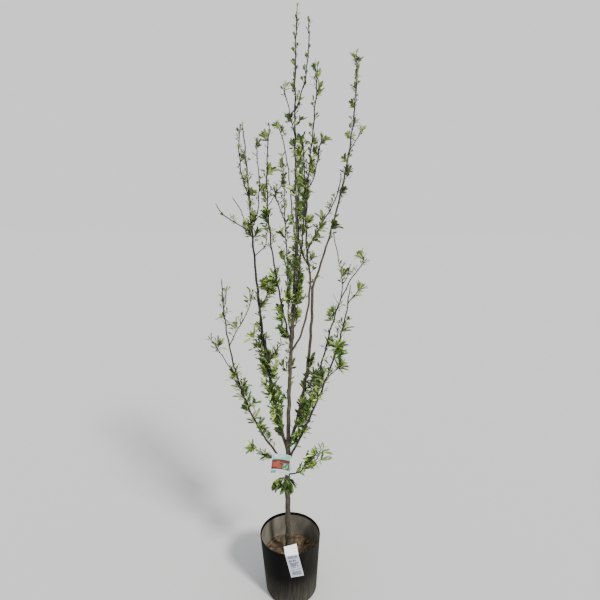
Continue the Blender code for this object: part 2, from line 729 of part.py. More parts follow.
def build_limbs(tree):
    """The boughs, and the masses that carry on from their tips or leave the trunk."""
    for number, limb in enumerate(BOUGHS + STEMS):
        line, radii, marks = tree.lines[limb.name], tree.radii[limb.name], tree.marks[limb.name]
        parent = tree.lines[limb.parent]
        sides = BOUGH_SIDES if limb in BOUGHS else STEM_SIDES
        if limb.at > parent[-1, 2]:
            pointing = TRUNK_CUT if limb.parent == LEADER.name else unit(parent[-1] - parent[-3])
            seat = seat_on_tip(line, radii, sides, marks, parent[-1], pointing)
        else:
            seat = seat_on_side(line, radii, sides, marks, parent, tree.radii[limb.parent])
        if limb in BOUGHS:
            change = at_height(line, limb.bare_to)
            low = line[: change + 1]
            bough = tube(low, radii[: change + 1], sides, marks[marks <= change], seat)
            solid("bough_" + limb.name, bough[0], facing_out(*bough), BARK)
            if change == len(line) - 1:
                continue
            line, radii, marks = line[change:], radii[change:], marks[marks >= change] - change
            seat = seat_on_tip(line, radii, STEM_SIDES, marks, low[-1], unit(low[-1] - low[-3]))
        mass = Mass(tree, "foliage_" + limb.name, SEED + 100 + number)
        stem = tube(line, radii, STEM_SIDES, marks, seat)
        made = mesh_object(mass.name, stem[0], facing_out(*stem), mass.bark)
        bpy.context.scene.collection.objects.link(made)
        mass.dress(limb, line, seat.last)
        for twig in TWIGS:
            if tree.owner[twig.name] == mass.name:
                twig_line, twig_radii = tree.lines[twig.name], tree.radii[twig.name]
                mass.add(*tube(twig_line, twig_radii, TWIG_SIDES, tree.marks[twig.name]), mass.bark)
                mass.dress(twig, twig_line, 0)
        mass.join(made)


def pot_radius(height):
    """The outer radius of the pot's straight wall at a height."""
    return POT_BASE_RADIUS + (POT_RIM_RADIUS - POT_BASE_RADIUS) * height / POT_HEIGHT


def pot_centre(height):
    """How far along X the pot's round section sits at a height, since the rim is shifted over the base."""
    return POT_RIM_SHIFT * height / POT_HEIGHT


def foot_round(inset, bottom):
    """The (radius, height) points of the rounded foot, for a wall set in by this much from the outside."""
    turn_radius = POT_FOOT_ROUND - inset
    centre = pot_radius(POT_FOOT_ROUND) - POT_FOOT_ROUND, bottom + turn_radius
    steps = [math.pi / 2 * k / FOOT_ROUND_STEPS for k in range(FOOT_ROUND_STEPS + 1)]
    return [(centre[0] + turn_radius * math.sin(a), centre[1] - turn_radius * math.cos(a)) for a in steps]


def lathe(profile, sides=POT_SIDES):
    """Points and faces of a closed turned solid from a profile whose ends are on the axis."""
    points = [(pot_centre(profile[0][1]), 0, profile[0][1])]
    for radius, height in profile[1:-1]:
        for k in range(sides):
            turn = math.tau * k / sides
            points.append((pot_centre(height) + radius * math.cos(turn), radius * math.sin(turn), height))
    points.append((pot_centre(profile[-1][1]), 0, profile[-1][1]))
    rows, last = len(profile) - 2, len(points) - 1
    faces = []
    for k in range(sides):
        after = (k + 1) % sides
        faces.append((0, 1 + after, 1 + k))
        for row in range(rows - 1):
            a, b = 1 + row * sides + k, 1 + row * sides + after
            faces += [(a, b, b + sides), (a, b + sides, a + sides)]
        faces.append((last, 1 + (rows - 1) * sides + k, 1 + (rows - 1) * sides + after))
    return points, facing_out(points, faces)


def build_pot():
    outer = [(0, 0)] + foot_round(0, 0)
    outer += [(pot_radius(POT_MIDDLE), POT_MIDDLE), (POT_RIM_RADIUS, POT_HEIGHT)]
    inner = [(POT_RIM_RADIUS - POT_WALL, POT_HEIGHT), (pot_radius(POT_MIDDLE) - POT_WALL, POT_MIDDLE)]
    inner += foot_round(POT_WALL, POT_BOTTOM)[::-1] + [(0, POT_BOTTOM)]
    solid("pot", *lathe(outer + inner), POT_BLACK)


def build_soil():
    """The potting mix: it fills the pot to SOIL_TOP, lumpy on top but for a flat pad under the trunk."""
    inset = POT_WALL + GAP
    side = [(radius, height) for radius, height in foot_round(inset, POT_BOTTOM + GAP)]
    brim = pot_radius(SOIL_TOP - SOIL_BUMP) - inset
    side += [(pot_radius(POT_MIDDLE) - inset, POT_MIDDLE), (brim, SOIL_TOP - SOIL_BUMP)]
    ring_step = (brim - TRUNK_PAD) / SOIL_RINGS
    top = [(brim - ring_step * k, SOIL_TOP) for k in range(1, SOIL_RINGS)]
    points, faces = lathe([(0, POT_BOTTOM + GAP)] + side + top + [(TRUNK_PAD, SOIL_TOP), (0, SOIL_TOP)])
    rule = random.Random(SEED)
    lumpy = []
    for x, y, z in points:
        from_axis = math.hypot(x - pot_centre(z), y)
        if z == SOIL_TOP and from_axis > TRUNK_PAD + 0.001:
            z -= rule.uniform(0, SOIL_BUMP)
        lumpy.append((x, y, z))
    solid("soil", lumpy, faces, SOIL_BROWN)


def sheet_solid(name, grid, normals, thick, finish):
    """A closed thin solid from a grid of points (rows by columns by 3) and the way it thickens."""
    rows, columns = grid.shape[:2]
    points = np.concatenate((grid.reshape(-1, 3), (grid + normals * thick).reshape(-1, 3)))
    shift = rows * columns
    faces = []
    for r in range(rows - 1):
        for c in range(columns - 1):
            a = r * columns + c
            faces += [(a, a + 1, a + columns + 1), (a, a + columns + 1, a + columns)]
            faces += [(shift + a, shift + a + columns + 1, shift + a + 1),
                      (shift + a, shift + a + columns, shift + a + columns + 1)]
    edge = [c for c in range(columns)] + [r * columns + columns - 1 for r in range(1, rows)]
    edge += [(rows - 1) * columns + c for c in range(columns - 2, -1, -1)]
    edge += [r * columns for r in range(rows - 2, 0, -1)]
    for a, b in zip(edge, edge[1:] + edge[:1]):
        faces += [(a, b + shift, b), (a, a + shift, b + shift)]
    return solid(name, points, facing_out(points, faces), finish)


def build_tag():
    """The white label: it hangs askew outside the pot, folds over the rim and stands inwards."""
    wall_slope = (POT_RIM_RADIUS - POT_BASE_RADIUS) / POT_HEIGHT
    down = unit(np.array((0, wall_slope, -1.0)))
    inwards = np.array((0, math.cos(TAG_STAND_LEAN), math.sin(TAG_STAND_LEAN)))
    outside, inside = unit(np.array((0, -1.0, -wall_slope))), np.array((0, -inwards[2], inwards[1]))
    rim = np.array((TAG_RIM_X, -POT_RIM_RADIUS - GAP, POT_HEIGHT + GAP))
    skew, lean = math.cos(TAG_SKEW), math.sin(TAG_SKEW)
    grid, normals = [], []
    for u in np.linspace(-0.5, 0.5, TAG_COLUMNS + 1) * TAG_WIDTH:
        low, high = TAG_HANG * skew - u * lean, TAG_STAND * skew + u * lean
        column, facing = [], []
        for below in (*np.linspace(low, 0, TAG_ROWS), *np.linspace(0, -high, TAG_STAND_ROWS)[1:]):
            across = u * skew + (below + u * lean) / skew * lean
            way = down * below if below > 0 else inwards * -below
            column.append(rim + way + np.array((across, 0, 0)))
            facing.append(outside if below > 0 else inside if below < 0 else unit(outside + inside))
        grid.append(column)
        normals.append(facing)
    sheet_solid("tag", np.array(grid), np.array(normals), TAG_THICK, PAPER_WHITE)


def build_card():
    """The picture card in front of the trunk."""
    grid = card_back(CARD_ROWS, CARD_COLUMNS)
    normals = np.broadcast_to(np.array((0, -1.0, 0)), grid.shape)
    sheet_solid("label_card", grid, normals, CARD_THICK, CARD_TEAL)


def card_back_at(x, z):
    """How far along Y the card's back is at this x and z."""
    across = (x - CARD_CENTRE.x) * math.cos(CARD_TILT) + (z - CARD_CENTRE.z) * math.sin(CARD_TILT)
    return CARD_CENTRE.y - CARD_BEND_RADIUS + math.sqrt(CARD_BEND_RADIUS**2 - across**2)


def build_loop(tree):
    """The strap that holds the card: an upright band round the trunk that reaches to the card's back."""
    line, radii = tree.lines["leader"], tree.radii["leader"]
    x, _, height = line[at_height(line, LOOP_HEIGHT)]
    inner = (radii[at_height(line, LOOP_HEIGHT - LOOP_TALL)] + GAP) / math.cos(math.pi / LOOP_SIDES)
    outer = inner + LOOP_THICK
    turns = [math.tau * j / LOOP_SIDES for j in range(LOOP_SIDES)]
    bottom, top = height - LOOP_TALL / 2, height + LOOP_TALL / 2
    front = min((card_back_at(x + outer * math.cos(turn), z) + GAP) / math.sin(turn)
                for turn in turns if math.sin(turn) < -0.1 for z in (bottom, top))
    points = []
    for z in (bottom, top):
        for wide, deep in ((inner, front - LOOP_THICK), (outer, front)):
            for turn in turns:
                depth = wide if math.sin(turn) > 0 else deep
                points.append((x + wide * math.cos(turn), depth * math.sin(turn), z))
    faces = []
    for j in range(LOOP_SIDES):
        n = (j + 1) % LOOP_SIDES
        low_in, low_out, high_in, high_out = (LOOP_SIDES * k for k in range(4))
        for a, b in ((low_in, low_out), (low_out, high_out), (high_out, high_in), (high_in, low_in)):
            faces += [(a + j, b + j, b + n), (a + j, b + n, a + n)]
    solid("label_loop", points, facing_out(points, faces), PAPER_WHITE)


def parent_all():
    """Parents every piece to one empty at the origin."""
    base = bpy.data.objects.new("plum_in_pot", None)
    bpy.context.scene.collection.objects.link(base)
    for made in bpy.context.scene.collection.objects:
        if made.type == "MESH":
            made.parent = base


def main():
    for old in list(bpy.data.objects):
        bpy.data.objects.remove(old)
    tree = Tree()
    build_pot()
    build_soil()
    build_trunk(tree)
    build_limbs(tree)
    build_tag()
    build_card()
    build_loop(tree)
    parent_all()


main()
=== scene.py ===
"""A young plum tree in a black nursery pot, in early spring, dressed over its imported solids.

Metres, +Z up. The origin is the centre of the pot's flat underside. The view looks along +Y. Each limb is a cubic
from its foot on its parent to its tip, with slight crooks. Spurs, finer twigs and leaves grow on from the limbs by a
seeded rule, and every leaf keeps to its own mass's space.
"""

import json
import logging
import math
import random
from dataclasses import dataclass, field
from enum import Enum

import bmesh
import bpy
import numpy as np
from mathutils import Matrix, Vector

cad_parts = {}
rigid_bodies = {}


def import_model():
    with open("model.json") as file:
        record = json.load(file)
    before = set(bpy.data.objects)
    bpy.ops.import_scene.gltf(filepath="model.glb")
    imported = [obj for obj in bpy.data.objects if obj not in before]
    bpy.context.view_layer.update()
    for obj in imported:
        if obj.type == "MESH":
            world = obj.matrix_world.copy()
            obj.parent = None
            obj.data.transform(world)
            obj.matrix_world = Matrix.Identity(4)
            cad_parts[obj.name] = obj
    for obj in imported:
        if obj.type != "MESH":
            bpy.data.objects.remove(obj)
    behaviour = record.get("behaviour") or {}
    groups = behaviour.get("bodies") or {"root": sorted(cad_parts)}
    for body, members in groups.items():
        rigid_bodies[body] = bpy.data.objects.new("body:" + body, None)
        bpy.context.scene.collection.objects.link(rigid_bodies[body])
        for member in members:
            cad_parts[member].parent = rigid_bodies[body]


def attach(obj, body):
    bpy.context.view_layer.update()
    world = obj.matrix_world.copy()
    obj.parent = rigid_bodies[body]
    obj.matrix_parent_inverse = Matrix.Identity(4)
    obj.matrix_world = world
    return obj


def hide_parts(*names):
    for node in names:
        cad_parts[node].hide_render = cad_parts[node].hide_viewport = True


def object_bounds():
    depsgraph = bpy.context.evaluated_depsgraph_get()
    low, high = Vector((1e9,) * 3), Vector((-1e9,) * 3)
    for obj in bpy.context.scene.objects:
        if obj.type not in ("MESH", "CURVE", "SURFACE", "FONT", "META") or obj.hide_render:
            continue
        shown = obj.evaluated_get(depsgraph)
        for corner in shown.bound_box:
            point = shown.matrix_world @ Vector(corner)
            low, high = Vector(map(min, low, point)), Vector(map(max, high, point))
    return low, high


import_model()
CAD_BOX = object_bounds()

logging.basicConfig(level=logging.INFO, format="%(message)s")
LOG = logging.getLogger("plum")

SEED = 1907
GOLDEN_TURN = math.radians(137.5)
UP = np.array((0.0, 0.0, 1.0))


# ---- Shapes as whole arrays


def unit(vectors: np.ndarray) -> np.ndarray:
    """The vectors divided by their own lengths."""
    return vectors / np.maximum(np.linalg.norm(vectors, axis=-1, keepdims=True), 1e-12)


def heading_vector(lean: float, heading: float) -> np.ndarray:
    """The unit vector at a lean from straight up, towards a heading from +X, both in degrees."""
    lean, heading = math.radians(lean), math.radians(heading)
    return np.array((math.sin(lean) * math.cos(heading), math.sin(lean) * math.sin(heading), math.cos(lean)))


def lengths(line: np.ndarray) -> np.ndarray:
    """How far along a line each of its points is: the running sum of the steps between them."""
    return np.concatenate(([0.0], np.cumsum(np.linalg.norm(np.diff(line, axis=0), axis=1))))


def frames(line: np.ndarray) -> tuple[np.ndarray, np.ndarray, np.ndarray]:
    """Three unit vectors at each point of a line: along it, and two across it that never twist about it.

    Args:
        line: points by 3.

    Returns:
        The tangents, and the two crossing directions. The first crossing direction is the one before it with its
        part along the new tangent taken off.
    """
    tangents = unit(np.gradient(line, axis=0))
    start = np.cross(tangents[0], (0, 1, 0))
    if np.linalg.norm(start) < 0.1:
        start = np.cross(tangents[0], (1, 0, 0))
    across = [unit(start)]
    for tangent in tangents[1:]:
        across.append(unit(across[-1] - np.dot(across[-1], tangent) * tangent))
    across = np.array(across)
    return tangents, across, np.cross(tangents, across)


def ripple(points: np.ndarray, wave: float, seed: int) -> np.ndarray:
    """A smooth noise from -1 to 1 over points in space: the mean of six sine waves in seeded directions.

    Args:
        points: any array whose last axis is x, y, z.
        wave: the wavelength of the broadest of them, in metres.
        seed: chooses the directions and phases.

    Returns:
        One value for each point.
    """
    rule = np.random.default_rng(seed)
    total = np.zeros(points.shape[:-1])
    for number in range(6):
        way = unit(rule.normal(size=3)) * math.tau / (wave * (0.5 + 0.12 * number))
        total += np.sin(points @ way + rule.uniform(0, math.tau))
    return total / 6 * 1.6


@dataclass
class Mesh:
    """Points and faces gathered from many shapes, to be made one object.

    Attributes:
        points: one array of points by 3 for each shape.
        faces: one array of faces by corners for each shape, already counted from the first shape's first point.
        slots: the material slot of each face, in the same order.
        young: how young the wood is at each point, from 0 to 1, where the shapes are wood.
        count: how many points there are so far.
    """

    points: list[np.ndarray] = field(default_factory=list)
    faces: list[np.ndarray] = field(default_factory=list)
    slots: list[np.ndarray] = field(default_factory=list)
    young: list[np.ndarray] = field(default_factory=list)
    count: int = 0

    def add(self, points: np.ndarray, faces: list[np.ndarray], slot: int | np.ndarray = 0) -> None:
        """Adds one shape.

        Args:
            points: any shape whose last axis is x, y, z.
            faces: arrays of faces by corners, counted from this shape's own first point.
            slot: the material slot of all its faces, or of each face of the first array.
        """
        flat = points.reshape(-1, 3)
        for some in faces:
            if len(some):
                self.faces.append(some + self.count)
                self.slots.append(np.broadcast_to(np.asarray(slot), (len(some),)))
        self.points.append(flat)
        self.count += len(flat)

    def add_wood(self, line: np.ndarray, radii: np.ndarray, sides: int, young: np.ndarray | float = 1.0) -> None:
        """Adds a limb carried along its line, and how young its wood is at each of the line's points."""
        self.add(*carried(line, radii, sides))
        young = np.broadcast_to(young, (len(line),))
        self.young.append(np.concatenate((np.repeat(young, sides), young[:1], young[-1:])))

    def build(self, name: str, materials: list[bpy.types.Material], smooth: bool = True) -> bpy.types.Object:
        """Makes the object, with whole arrays put into its mesh.

        Args:
            name: the object's name.
            materials: its material slots.
            smooth: whether its faces shade smoothly.

        Returns:
            The new object, linked to the scene and riding on the root body.
        """
        mesh = bpy.data.meshes.new(name)
        points = np.concatenate(self.points)
        totals = np.concatenate([np.full(len(some), some.shape[1]) for some in self.faces])
        corners = np.concatenate([some.reshape(-1) for some in self.faces])
        mesh.vertices.add(len(points))
        mesh.vertices.foreach_set("co", points.astype(np.float32).ravel())
        mesh.loops.add(len(corners))
        mesh.loops.foreach_set("vertex_index", corners.astype(np.int32))
        mesh.polygons.add(len(totals))
        mesh.polygons.foreach_set("loop_start", np.concatenate(([0], np.cumsum(totals)[:-1])).astype(np.int32))
        mesh.polygons.foreach_set("material_index", np.concatenate(self.slots).astype(np.int32))
        mesh.polygons.foreach_set("use_smooth", np.full(len(totals), smooth))
        if self.young:
            youth = mesh.attributes.new("young", "FLOAT", "POINT")
            youth.data.foreach_set("value", np.concatenate(self.young).astype(np.float32))
        for material in materials:
            mesh.materials.append(material)
        mesh.update(calc_edges=True)
        mesh.validate()
        made = bpy.data.objects.new(name, mesh)
        bpy.context.scene.collection.objects.link(made)
        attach(made, "root")
        return made


def grid_faces(rows: int, columns: int, wrap: bool) -> np.ndarray:
    """The quads between the points of a grid, with its last column joined to its first where it wraps."""
    r, c = np.meshgrid(np.arange(rows - 1), np.arange(columns if wrap else columns - 1), indexing="ij")
    a, b = r * columns + c, r * columns + (c + 1) % columns
    return np.stack((a, b, b + columns, a + columns), axis=-1).reshape(-1, 4)


def carried(line: np.ndarray, radii: np.ndarray, sides: int) -> tuple[np.ndarray, list[np.ndarray]]:
    """A round profile carried along a path, with both ends closed to a point.

    Each ring is the path's point plus the radius times the cosine and sine of the turn along its two crossing
    directions.

    Args:
        line: the path, stations by 3.
        radii: stations, or stations by sides where the profile has relief.
        sides: how many points each ring has.

    Returns:
        The points, with the two end points last, and the quads and end triangles.
    """
    _, across, beside = frames(line)
    turns = np.arange(sides) * math.tau / sides
    wide = radii if radii.ndim == 2 else np.broadcast_to(radii[:, None], (len(line), sides))
    ring = across[:, None] * np.cos(turns)[None, :, None] + beside[:, None] * np.sin(turns)[None, :, None]
    points = (line[:, None] + wide[..., None] * ring).reshape(-1, 3)
    points = np.concatenate((points, line[:1], line[-1:]))
    quads = grid_faces(len(line), sides, True)
    near, following = np.arange(sides), (np.arange(sides) + 1) % sides
    last, foot, tip = (len(line) - 1) * sides, len(line) * sides, len(line) * sides + 1
    ends = np.concatenate((
        np.stack((np.full(sides, foot), following, near), axis=1),
        np.stack((np.full(sides, tip), last + near, last + following), axis=1),
    ))
    return points, [quads, ends]


# ---- Finishes


def new_material(name: str, colour: tuple[float, float, float], roughness: float) -> bpy.types.Material:
    """A Principled material with a plain base colour and roughness."""
    made = bpy.data.materials.new(name)
    made.use_nodes = True
    shader = made.node_tree.nodes["Principled BSDF"]
    shader.inputs["Base Color"].default_value = (*colour, 1)
    shader.inputs["Roughness"].default_value = roughness
    made.diffuse_color = (*colour, 1)
    return made


@dataclass(frozen=True)
class Patchwork:
    """A finish mottled between two colours, with a fine bump, read from Object coordinates.

    Attributes:
        name: the material's name.
        dark: the colour of the low places.
        light: the colour of the high places.
        scale: how many mottles there are in a metre, along X, Y and Z.
        roughness: the lowest and highest roughness.
        bump: the bump's depth in metres.
        fine: how many times finer the bump is than the mottles.
        contrast: how sharply the two colours part, from 0 to 1.
        sheen: how strongly it mirrors, 0.5 being usual.
        painted_low_shade: the heights over which painted shade on the low part fades out upwards, and its mottles'
            strength under them, or None.
        old: the dark and light colours of old wood, towards which the mesh's own youth attribute leads, or None.
    """

    name: str
    dark: tuple[float, float, float]
    light: tuple[float, float, float]
    scale: tuple[float, float, float]
    roughness: tuple[float, float]
    bump: float = 0.0003
    fine: float = 4.0
    contrast: float = 0.4
    sheen: float = 0.5
    painted_low_shade: tuple[float, float, float] | None = None
    old: tuple[tuple[float, float, float], tuple[float, float, float]] | None = None

    def ramp(self, tree: bpy.types.NodeTree, dark: tuple[float, float, float],
             light: tuple[float, float, float]) -> bpy.types.Node:
        """A ramp from one colour to another, as steep as the contrast makes it."""
        ramp = tree.nodes.new("ShaderNodeValToRGB")
        for element, colour, way in zip(ramp.color_ramp.elements, (dark, light), (-1, 1)):
            element.position = 0.5 + way * 0.25 * (1 - self.contrast)
            element.color = (*colour, 1)
        return ramp

    def build(self) -> bpy.types.Material:
        """Makes the material."""
        made = new_material(self.name, self.light, self.roughness[1])
        tree = made.node_tree
        shader = tree.nodes["Principled BSDF"]
        shader.inputs["Specular IOR Level"].default_value = self.sheen
        place = tree.nodes.new("ShaderNodeTexCoord")
        stretch = tree.nodes.new("ShaderNodeMapping")
        stretch.inputs["Scale"].default_value = self.scale
        mottle = tree.nodes.new("ShaderNodeTexNoise")
        mottle.inputs["Scale"].default_value = 1.0
        mottle.inputs["Detail"].default_value = 6.0
        ramp = self.ramp(tree, self.dark, self.light)
        rough = tree.nodes.new("ShaderNodeMapRange")
        rough.inputs["To Min"].default_value, rough.inputs["To Max"].default_value = self.roughness
        grain = tree.nodes.new("ShaderNodeTexNoise")
        grain.inputs["Scale"].default_value = self.fine
        grain.inputs["Detail"].default_value = 5.0
        bump = tree.nodes.new("ShaderNodeBump")
        bump.inputs["Distance"].default_value = self.bump
        bump.inputs["Strength"].default_value = 1.0
        link = tree.links.new
        link(place.outputs["Object"], stretch.inputs["Vector"])
        link(stretch.outputs["Vector"], mottle.inputs["Vector"])
        link(stretch.outputs["Vector"], grain.inputs["Vector"])
        tone = mottle.outputs["Fac"]
        # Painted shade: below the given heights the mottle is weakened, so the colour leans to the dark one there.
        if self.painted_low_shade:
            parts = tree.nodes.new("ShaderNodeSeparateXYZ")
            shade_fade = tree.nodes.new("ShaderNodeMapRange")
            shade_fade.inputs["From Min"].default_value, shade_fade.inputs["From Max"].default_value = self.painted_low_shade[:2]
            shade_fade.inputs["To Min"].default_value = self.painted_low_shade[2]
            both = tree.nodes.new("ShaderNodeMath")
            both.operation = "MULTIPLY"
            link(place.outputs["Object"], parts.inputs["Vector"])
            link(parts.outputs["Z"], shade_fade.inputs["Value"])
            link(shade_fade.outputs["Result"], both.inputs[0])
            link(tone, both.inputs[1])
            tone = both.outputs["Value"]
        link(tone, ramp.inputs["Fac"])
        link(mottle.outputs["Fac"], rough.inputs["Value"])
        colour = ramp.outputs["Color"]
        if self.old:
            aged = self.ramp(tree, *self.old)
            youth = tree.nodes.new("ShaderNodeAttribute")
            youth.attribute_name = "young"
            blend = tree.nodes.new("ShaderNodeMixRGB")
            link(tone, aged.inputs["Fac"])
            link(youth.outputs["Fac"], blend.inputs["Fac"])
            link(aged.outputs["Color"], blend.inputs["Color1"])
            link(colour, blend.inputs["Color2"])
            colour = blend.outputs["Color"]
        link(colour, shader.inputs["Base Color"])
        link(rough.outputs["Result"], shader.inputs["Roughness"])
        link(grain.outputs["Fac"], bump.inputs["Height"])
        link(bump.outputs["Normal"], shader.inputs["Normal"])
        return made


@dataclass(frozen=True)
class DustAndPaintedLightWall:
    """Black plastic, dusty in upright streaks that thicken to the ground, and lighter towards +X, where the pale colour
    is painted light on the side the key light falls on.

    The pale share is the noise, stretched along Z, times the sum of a fade down Z, for the dusty bottom, and a fade
    along X, which is painted light.

    Attributes:
        name: the material's name.
        plastic: the plastic's colour.
        dust_and_painted_light: the pale colour, of the dusty streaks and of the painted light.
        heights: where the fade down Z starts and where it is full.
        across: where the fade of painted light along X starts and where it is full.
        streaks: how many streaks there are in a metre, round the wall and up it.
        sheen: how strongly the wall mirrors.
    """

    name: str
    plastic: tuple[float, float, float]
    dust_and_painted_light: tuple[float, float, float]
    heights: tuple[float, float]
    across: tuple[float, float]
    streaks: tuple[float, float]
    sheen: float

    def build(self) -> bpy.types.Material:
        """Makes the material."""
        made = new_material(self.name, self.plastic, 0.6)
        tree = made.node_tree
        shader = tree.nodes["Principled BSDF"]
        shader.inputs["Specular IOR Level"].default_value = self.sheen
        place = tree.nodes.new("ShaderNodeTexCoord")
        parts = tree.nodes.new("ShaderNodeSeparateXYZ")
        fades = []
        # The fade down Z makes the dusty bottom; the fade along X is painted light on the +X side, towards the key
        # light.
        for span in (self.heights, self.across):
            fade = tree.nodes.new("ShaderNodeMapRange")
            fade.inputs["From Min"].default_value, fade.inputs["From Max"].default_value = span
            fades.append(fade)
        both = tree.nodes.new("ShaderNodeMath")
        both.operation = "ADD"
        stretch = tree.nodes.new("ShaderNodeMapping")
        stretch.inputs["Scale"].default_value = (self.streaks[0], self.streaks[0], self.streaks[1])
        noise = tree.nodes.new("ShaderNodeTexNoise")
        noise.inputs["Scale"].default_value = 1.0
        noise.inputs["Detail"].default_value = 8.0
        noise.inputs["Roughness"].default_value = 0.65
        patches = tree.nodes.new("ShaderNodeMapRange")
        patches.inputs["From Min"].default_value, patches.inputs["From Max"].default_value = 0.25, 0.80
        share = tree.nodes.new("ShaderNodeMath")
        share.operation = "MULTIPLY"
        share.use_clamp = True
        mixed = tree.nodes.new("ShaderNodeValToRGB")
        mixed.color_ramp.elements[0].color = (*self.plastic, 1)
        mixed.color_ramp.elements[1].color = (*self.dust_and_painted_light, 1)
        bump = tree.nodes.new("ShaderNodeBump")
        bump.inputs["Distance"].default_value = 0.0003
        link = tree.links.new
        link(place.outputs["Object"], parts.inputs["Vector"])
        link(parts.outputs["Z"], fades[0].inputs["Value"])
        link(parts.outputs["X"], fades[1].inputs["Value"])
        link(fades[0].outputs["Result"], both.inputs[0])
        link(fades[1].outputs["Result"], both.inputs[1])
        link(place.outputs["Object"], stretch.inputs["Vector"])
        link(stretch.outputs["Vector"], noise.inputs["Vector"])
        link(noise.outputs["Fac"], patches.inputs["Value"])
        link(patches.outputs["Result"], share.inputs[0])
        link(both.outputs["Value"], share.inputs[1])
        link(share.outputs["Value"], mixed.inputs["Fac"])
        link(mixed.outputs["Color"], shader.inputs["Base Color"])
        link(noise.outputs["Fac"], bump.inputs["Height"])
        link(bump.outputs["Normal"], shader.inputs["Normal"])
        return made


@dataclass(frozen=True)
class Plain:
    """A finish of one plain colour, as the leaves of a spray have."""

    name: str
    colour: tuple[float, float, float]
    roughness: float = 0.5

    def build(self) -> bpy.types.Material:
        """Makes the material."""
        return new_material(self.name, self.colour, self.roughness)


def paper(name: str, colour: tuple[float, float, float], uneven: float = 0.85) -> Patchwork:
    """A paper or print: its colour mottled with a slightly darker one, with the paper's fine grain."""
    darker = tuple(part * uneven for part in colour)
    return Patchwork(name, darker, colour, (130, 130, 130), (0.3, 0.5), 0.00006, 7.0, 0.1)


OLD_BARK = ((0.018, 0.014, 0.009), (0.090, 0.075, 0.050))
YOUNG_BARK = ((0.006, 0.0038, 0.0032), (0.026, 0.016, 0.012))
# Bark of the trunk and boughs, darker below 0.48 to 0.64 m as painted shade on the low trunk.
TRUNK_BARK = Patchwork(
    "trunk_bark", *YOUNG_BARK, (260, 260, 75), (0.65, 0.9), 0.0010, 2.5, painted_low_shade=(0.48, 0.64, 0.84), old=OLD_BARK)
WHIP_BARK = Patchwork("whip_bark", *YOUNG_BARK, (160, 160, 50), (0.5, 0.75), 0.0003, old=OLD_BARK)
# The pot's plastic: dusty towards the ground, and painted light on its +X side.
POT_PLASTIC = DustAndPaintedLightWall(
    "pot_plastic", (0.0018, 0.0018, 0.0018), (0.090, 0.086, 0.068), (0.140, -0.010), (-0.05, 0.60), (120, 7), 0.05)
POT_INSIDE = Patchwork(
    "pot_inside", (0.075, 0.068, 0.052), (0.170, 0.160, 0.135), (30, 30, 14), (0.7, 0.9), 0.0003, 9.0, 0.0, 0.2)
SOIL_CRUMB = Patchwork("soil_crumb", (0.024, 0.017, 0.010), (0.16, 0.115, 0.062), (48, 48, 48), (0.85, 1.0), 0.003, 4.0)
SOIL_CHIP = Patchwork("soil_chip", (0.035, 0.019, 0.011), (0.145, 0.078, 0.040), (80, 80, 80), (0.7, 0.9), 0.0008, 4.0)
TAG_PAPER = paper("tag_paper", (0.86, 0.86, 0.90), 0.95)
# Grey-blue layer over the label's hanging part: painted shade, as that part hangs in shade.
TAG_PAINTED_SHADE = paper("tag_ground", (0.47, 0.49, 0.61), 0.88)
TAG_INK = paper("tag_ink", (0.020, 0.024, 0.060), 0.7)
CARD_PAPER = paper("card_paper", (0.70, 0.78, 0.84), 0.93)
STRAP = paper("strap", (0.75, 0.77, 0.78), 0.9)


class LeafShade(Enum):
    """The plain colours dealt out to the leaves of a spray. Their spread is partly painted light: the palest stand for
    leaves in sunlight and the deepest for leaves in shade.
    """

    # Painted sunlight on leaves.
    PALE = (0.530, 0.640, 0.270)
    FRESH = (0.285, 0.375, 0.086)
    BRIGHT = (0.146, 0.222, 0.043)
    MID = (0.070, 0.113, 0.024)
    # Painted shade: leaves in shadow.
    DEEP = (0.025, 0.046, 0.011)
    OLIVE = (0.092, 0.100, 0.028)
    GREEN = (0.052, 0.136, 0.018)


def shade_shares(height: float, young: float) -> np.ndarray:
    """How much of each leaf shade a spray has: greener near the ground, and paler the higher young is and darker the
    lower, which stands for a young shoot and also paints light and shade on a spray.

    Args:
        height: the spray's height.
        young: how many times more of its leaves are fresh than usual, which also paints sunlight where it is high and
            shade where it is low.

    Returns:
        One share for each shade, before chance.
    """
    low = min(max((1.2 - height) / 0.6, 0), 1)
    return np.array((0.06 * young, 0.22 * young, 0.27 * young * (1 - 0.5 * low), 0.24, 0.16 / young,
                     0.08 * (1 - low) + 0.01, 0.02 + 0.22 * low))


def leaf_materials() -> list[bpy.types.Material]:
    """One satin material for each leaf shade."""
    return [Plain("leaf_" + shade.name.lower(), shade.value, 0.42).build() for shade in LeafShade]


# ---- The limbs


@dataclass(frozen=True)
class Limb:
    """One limb: where it leaves its parent, where its tip is, and its (lean, heading) in degrees at both ends.

    Attributes:
        name: the limb's name.
        parent: the limb that it leaves.
        at: the height where it leaves, above the parent's tip where it carries on from that.
        tip: its tip.
        leave: its lean and heading at its foot.
        arrive: its lean and heading at its tip.
        radii: its radius at foot and tip.
        bare_to: the height up to which it is a bough.
        hang: how far its leaves hang, from 0 for upright ones.
        young: how many times more of its leaves are fresh than usual; it also paints light, raised for sprays in sun
            and lowered for sprays in shade.
        leaf: how many times longer its leaves are than usual.
        lush: how many times more leaves its bunches have than usual.
        shoot: how far a thin shoot carries on past its tip.
        ripens: how far from its foot its bark takes to turn from old to young.
    """

    name: str
    parent: str
    at: float
    tip: tuple[float, float, float]
    leave: tuple[float, float]
    arrive: tuple[float, float]
    radii: tuple[float, float]
    bare_to: float = 0.0
    hang: float = 0.0
    young: float = 1.0
    leaf: float = 1.0
    lush: float = 1.0
    shoot: float = 0.006
    ripens: float = 0.0


LEADER = Limb("leader", "", 0.168, (0.003, 0.0, 1.512), (2, 181), (3, 1), (0.0118, 0.0042), bare_to=9.0, ripens=99.0)

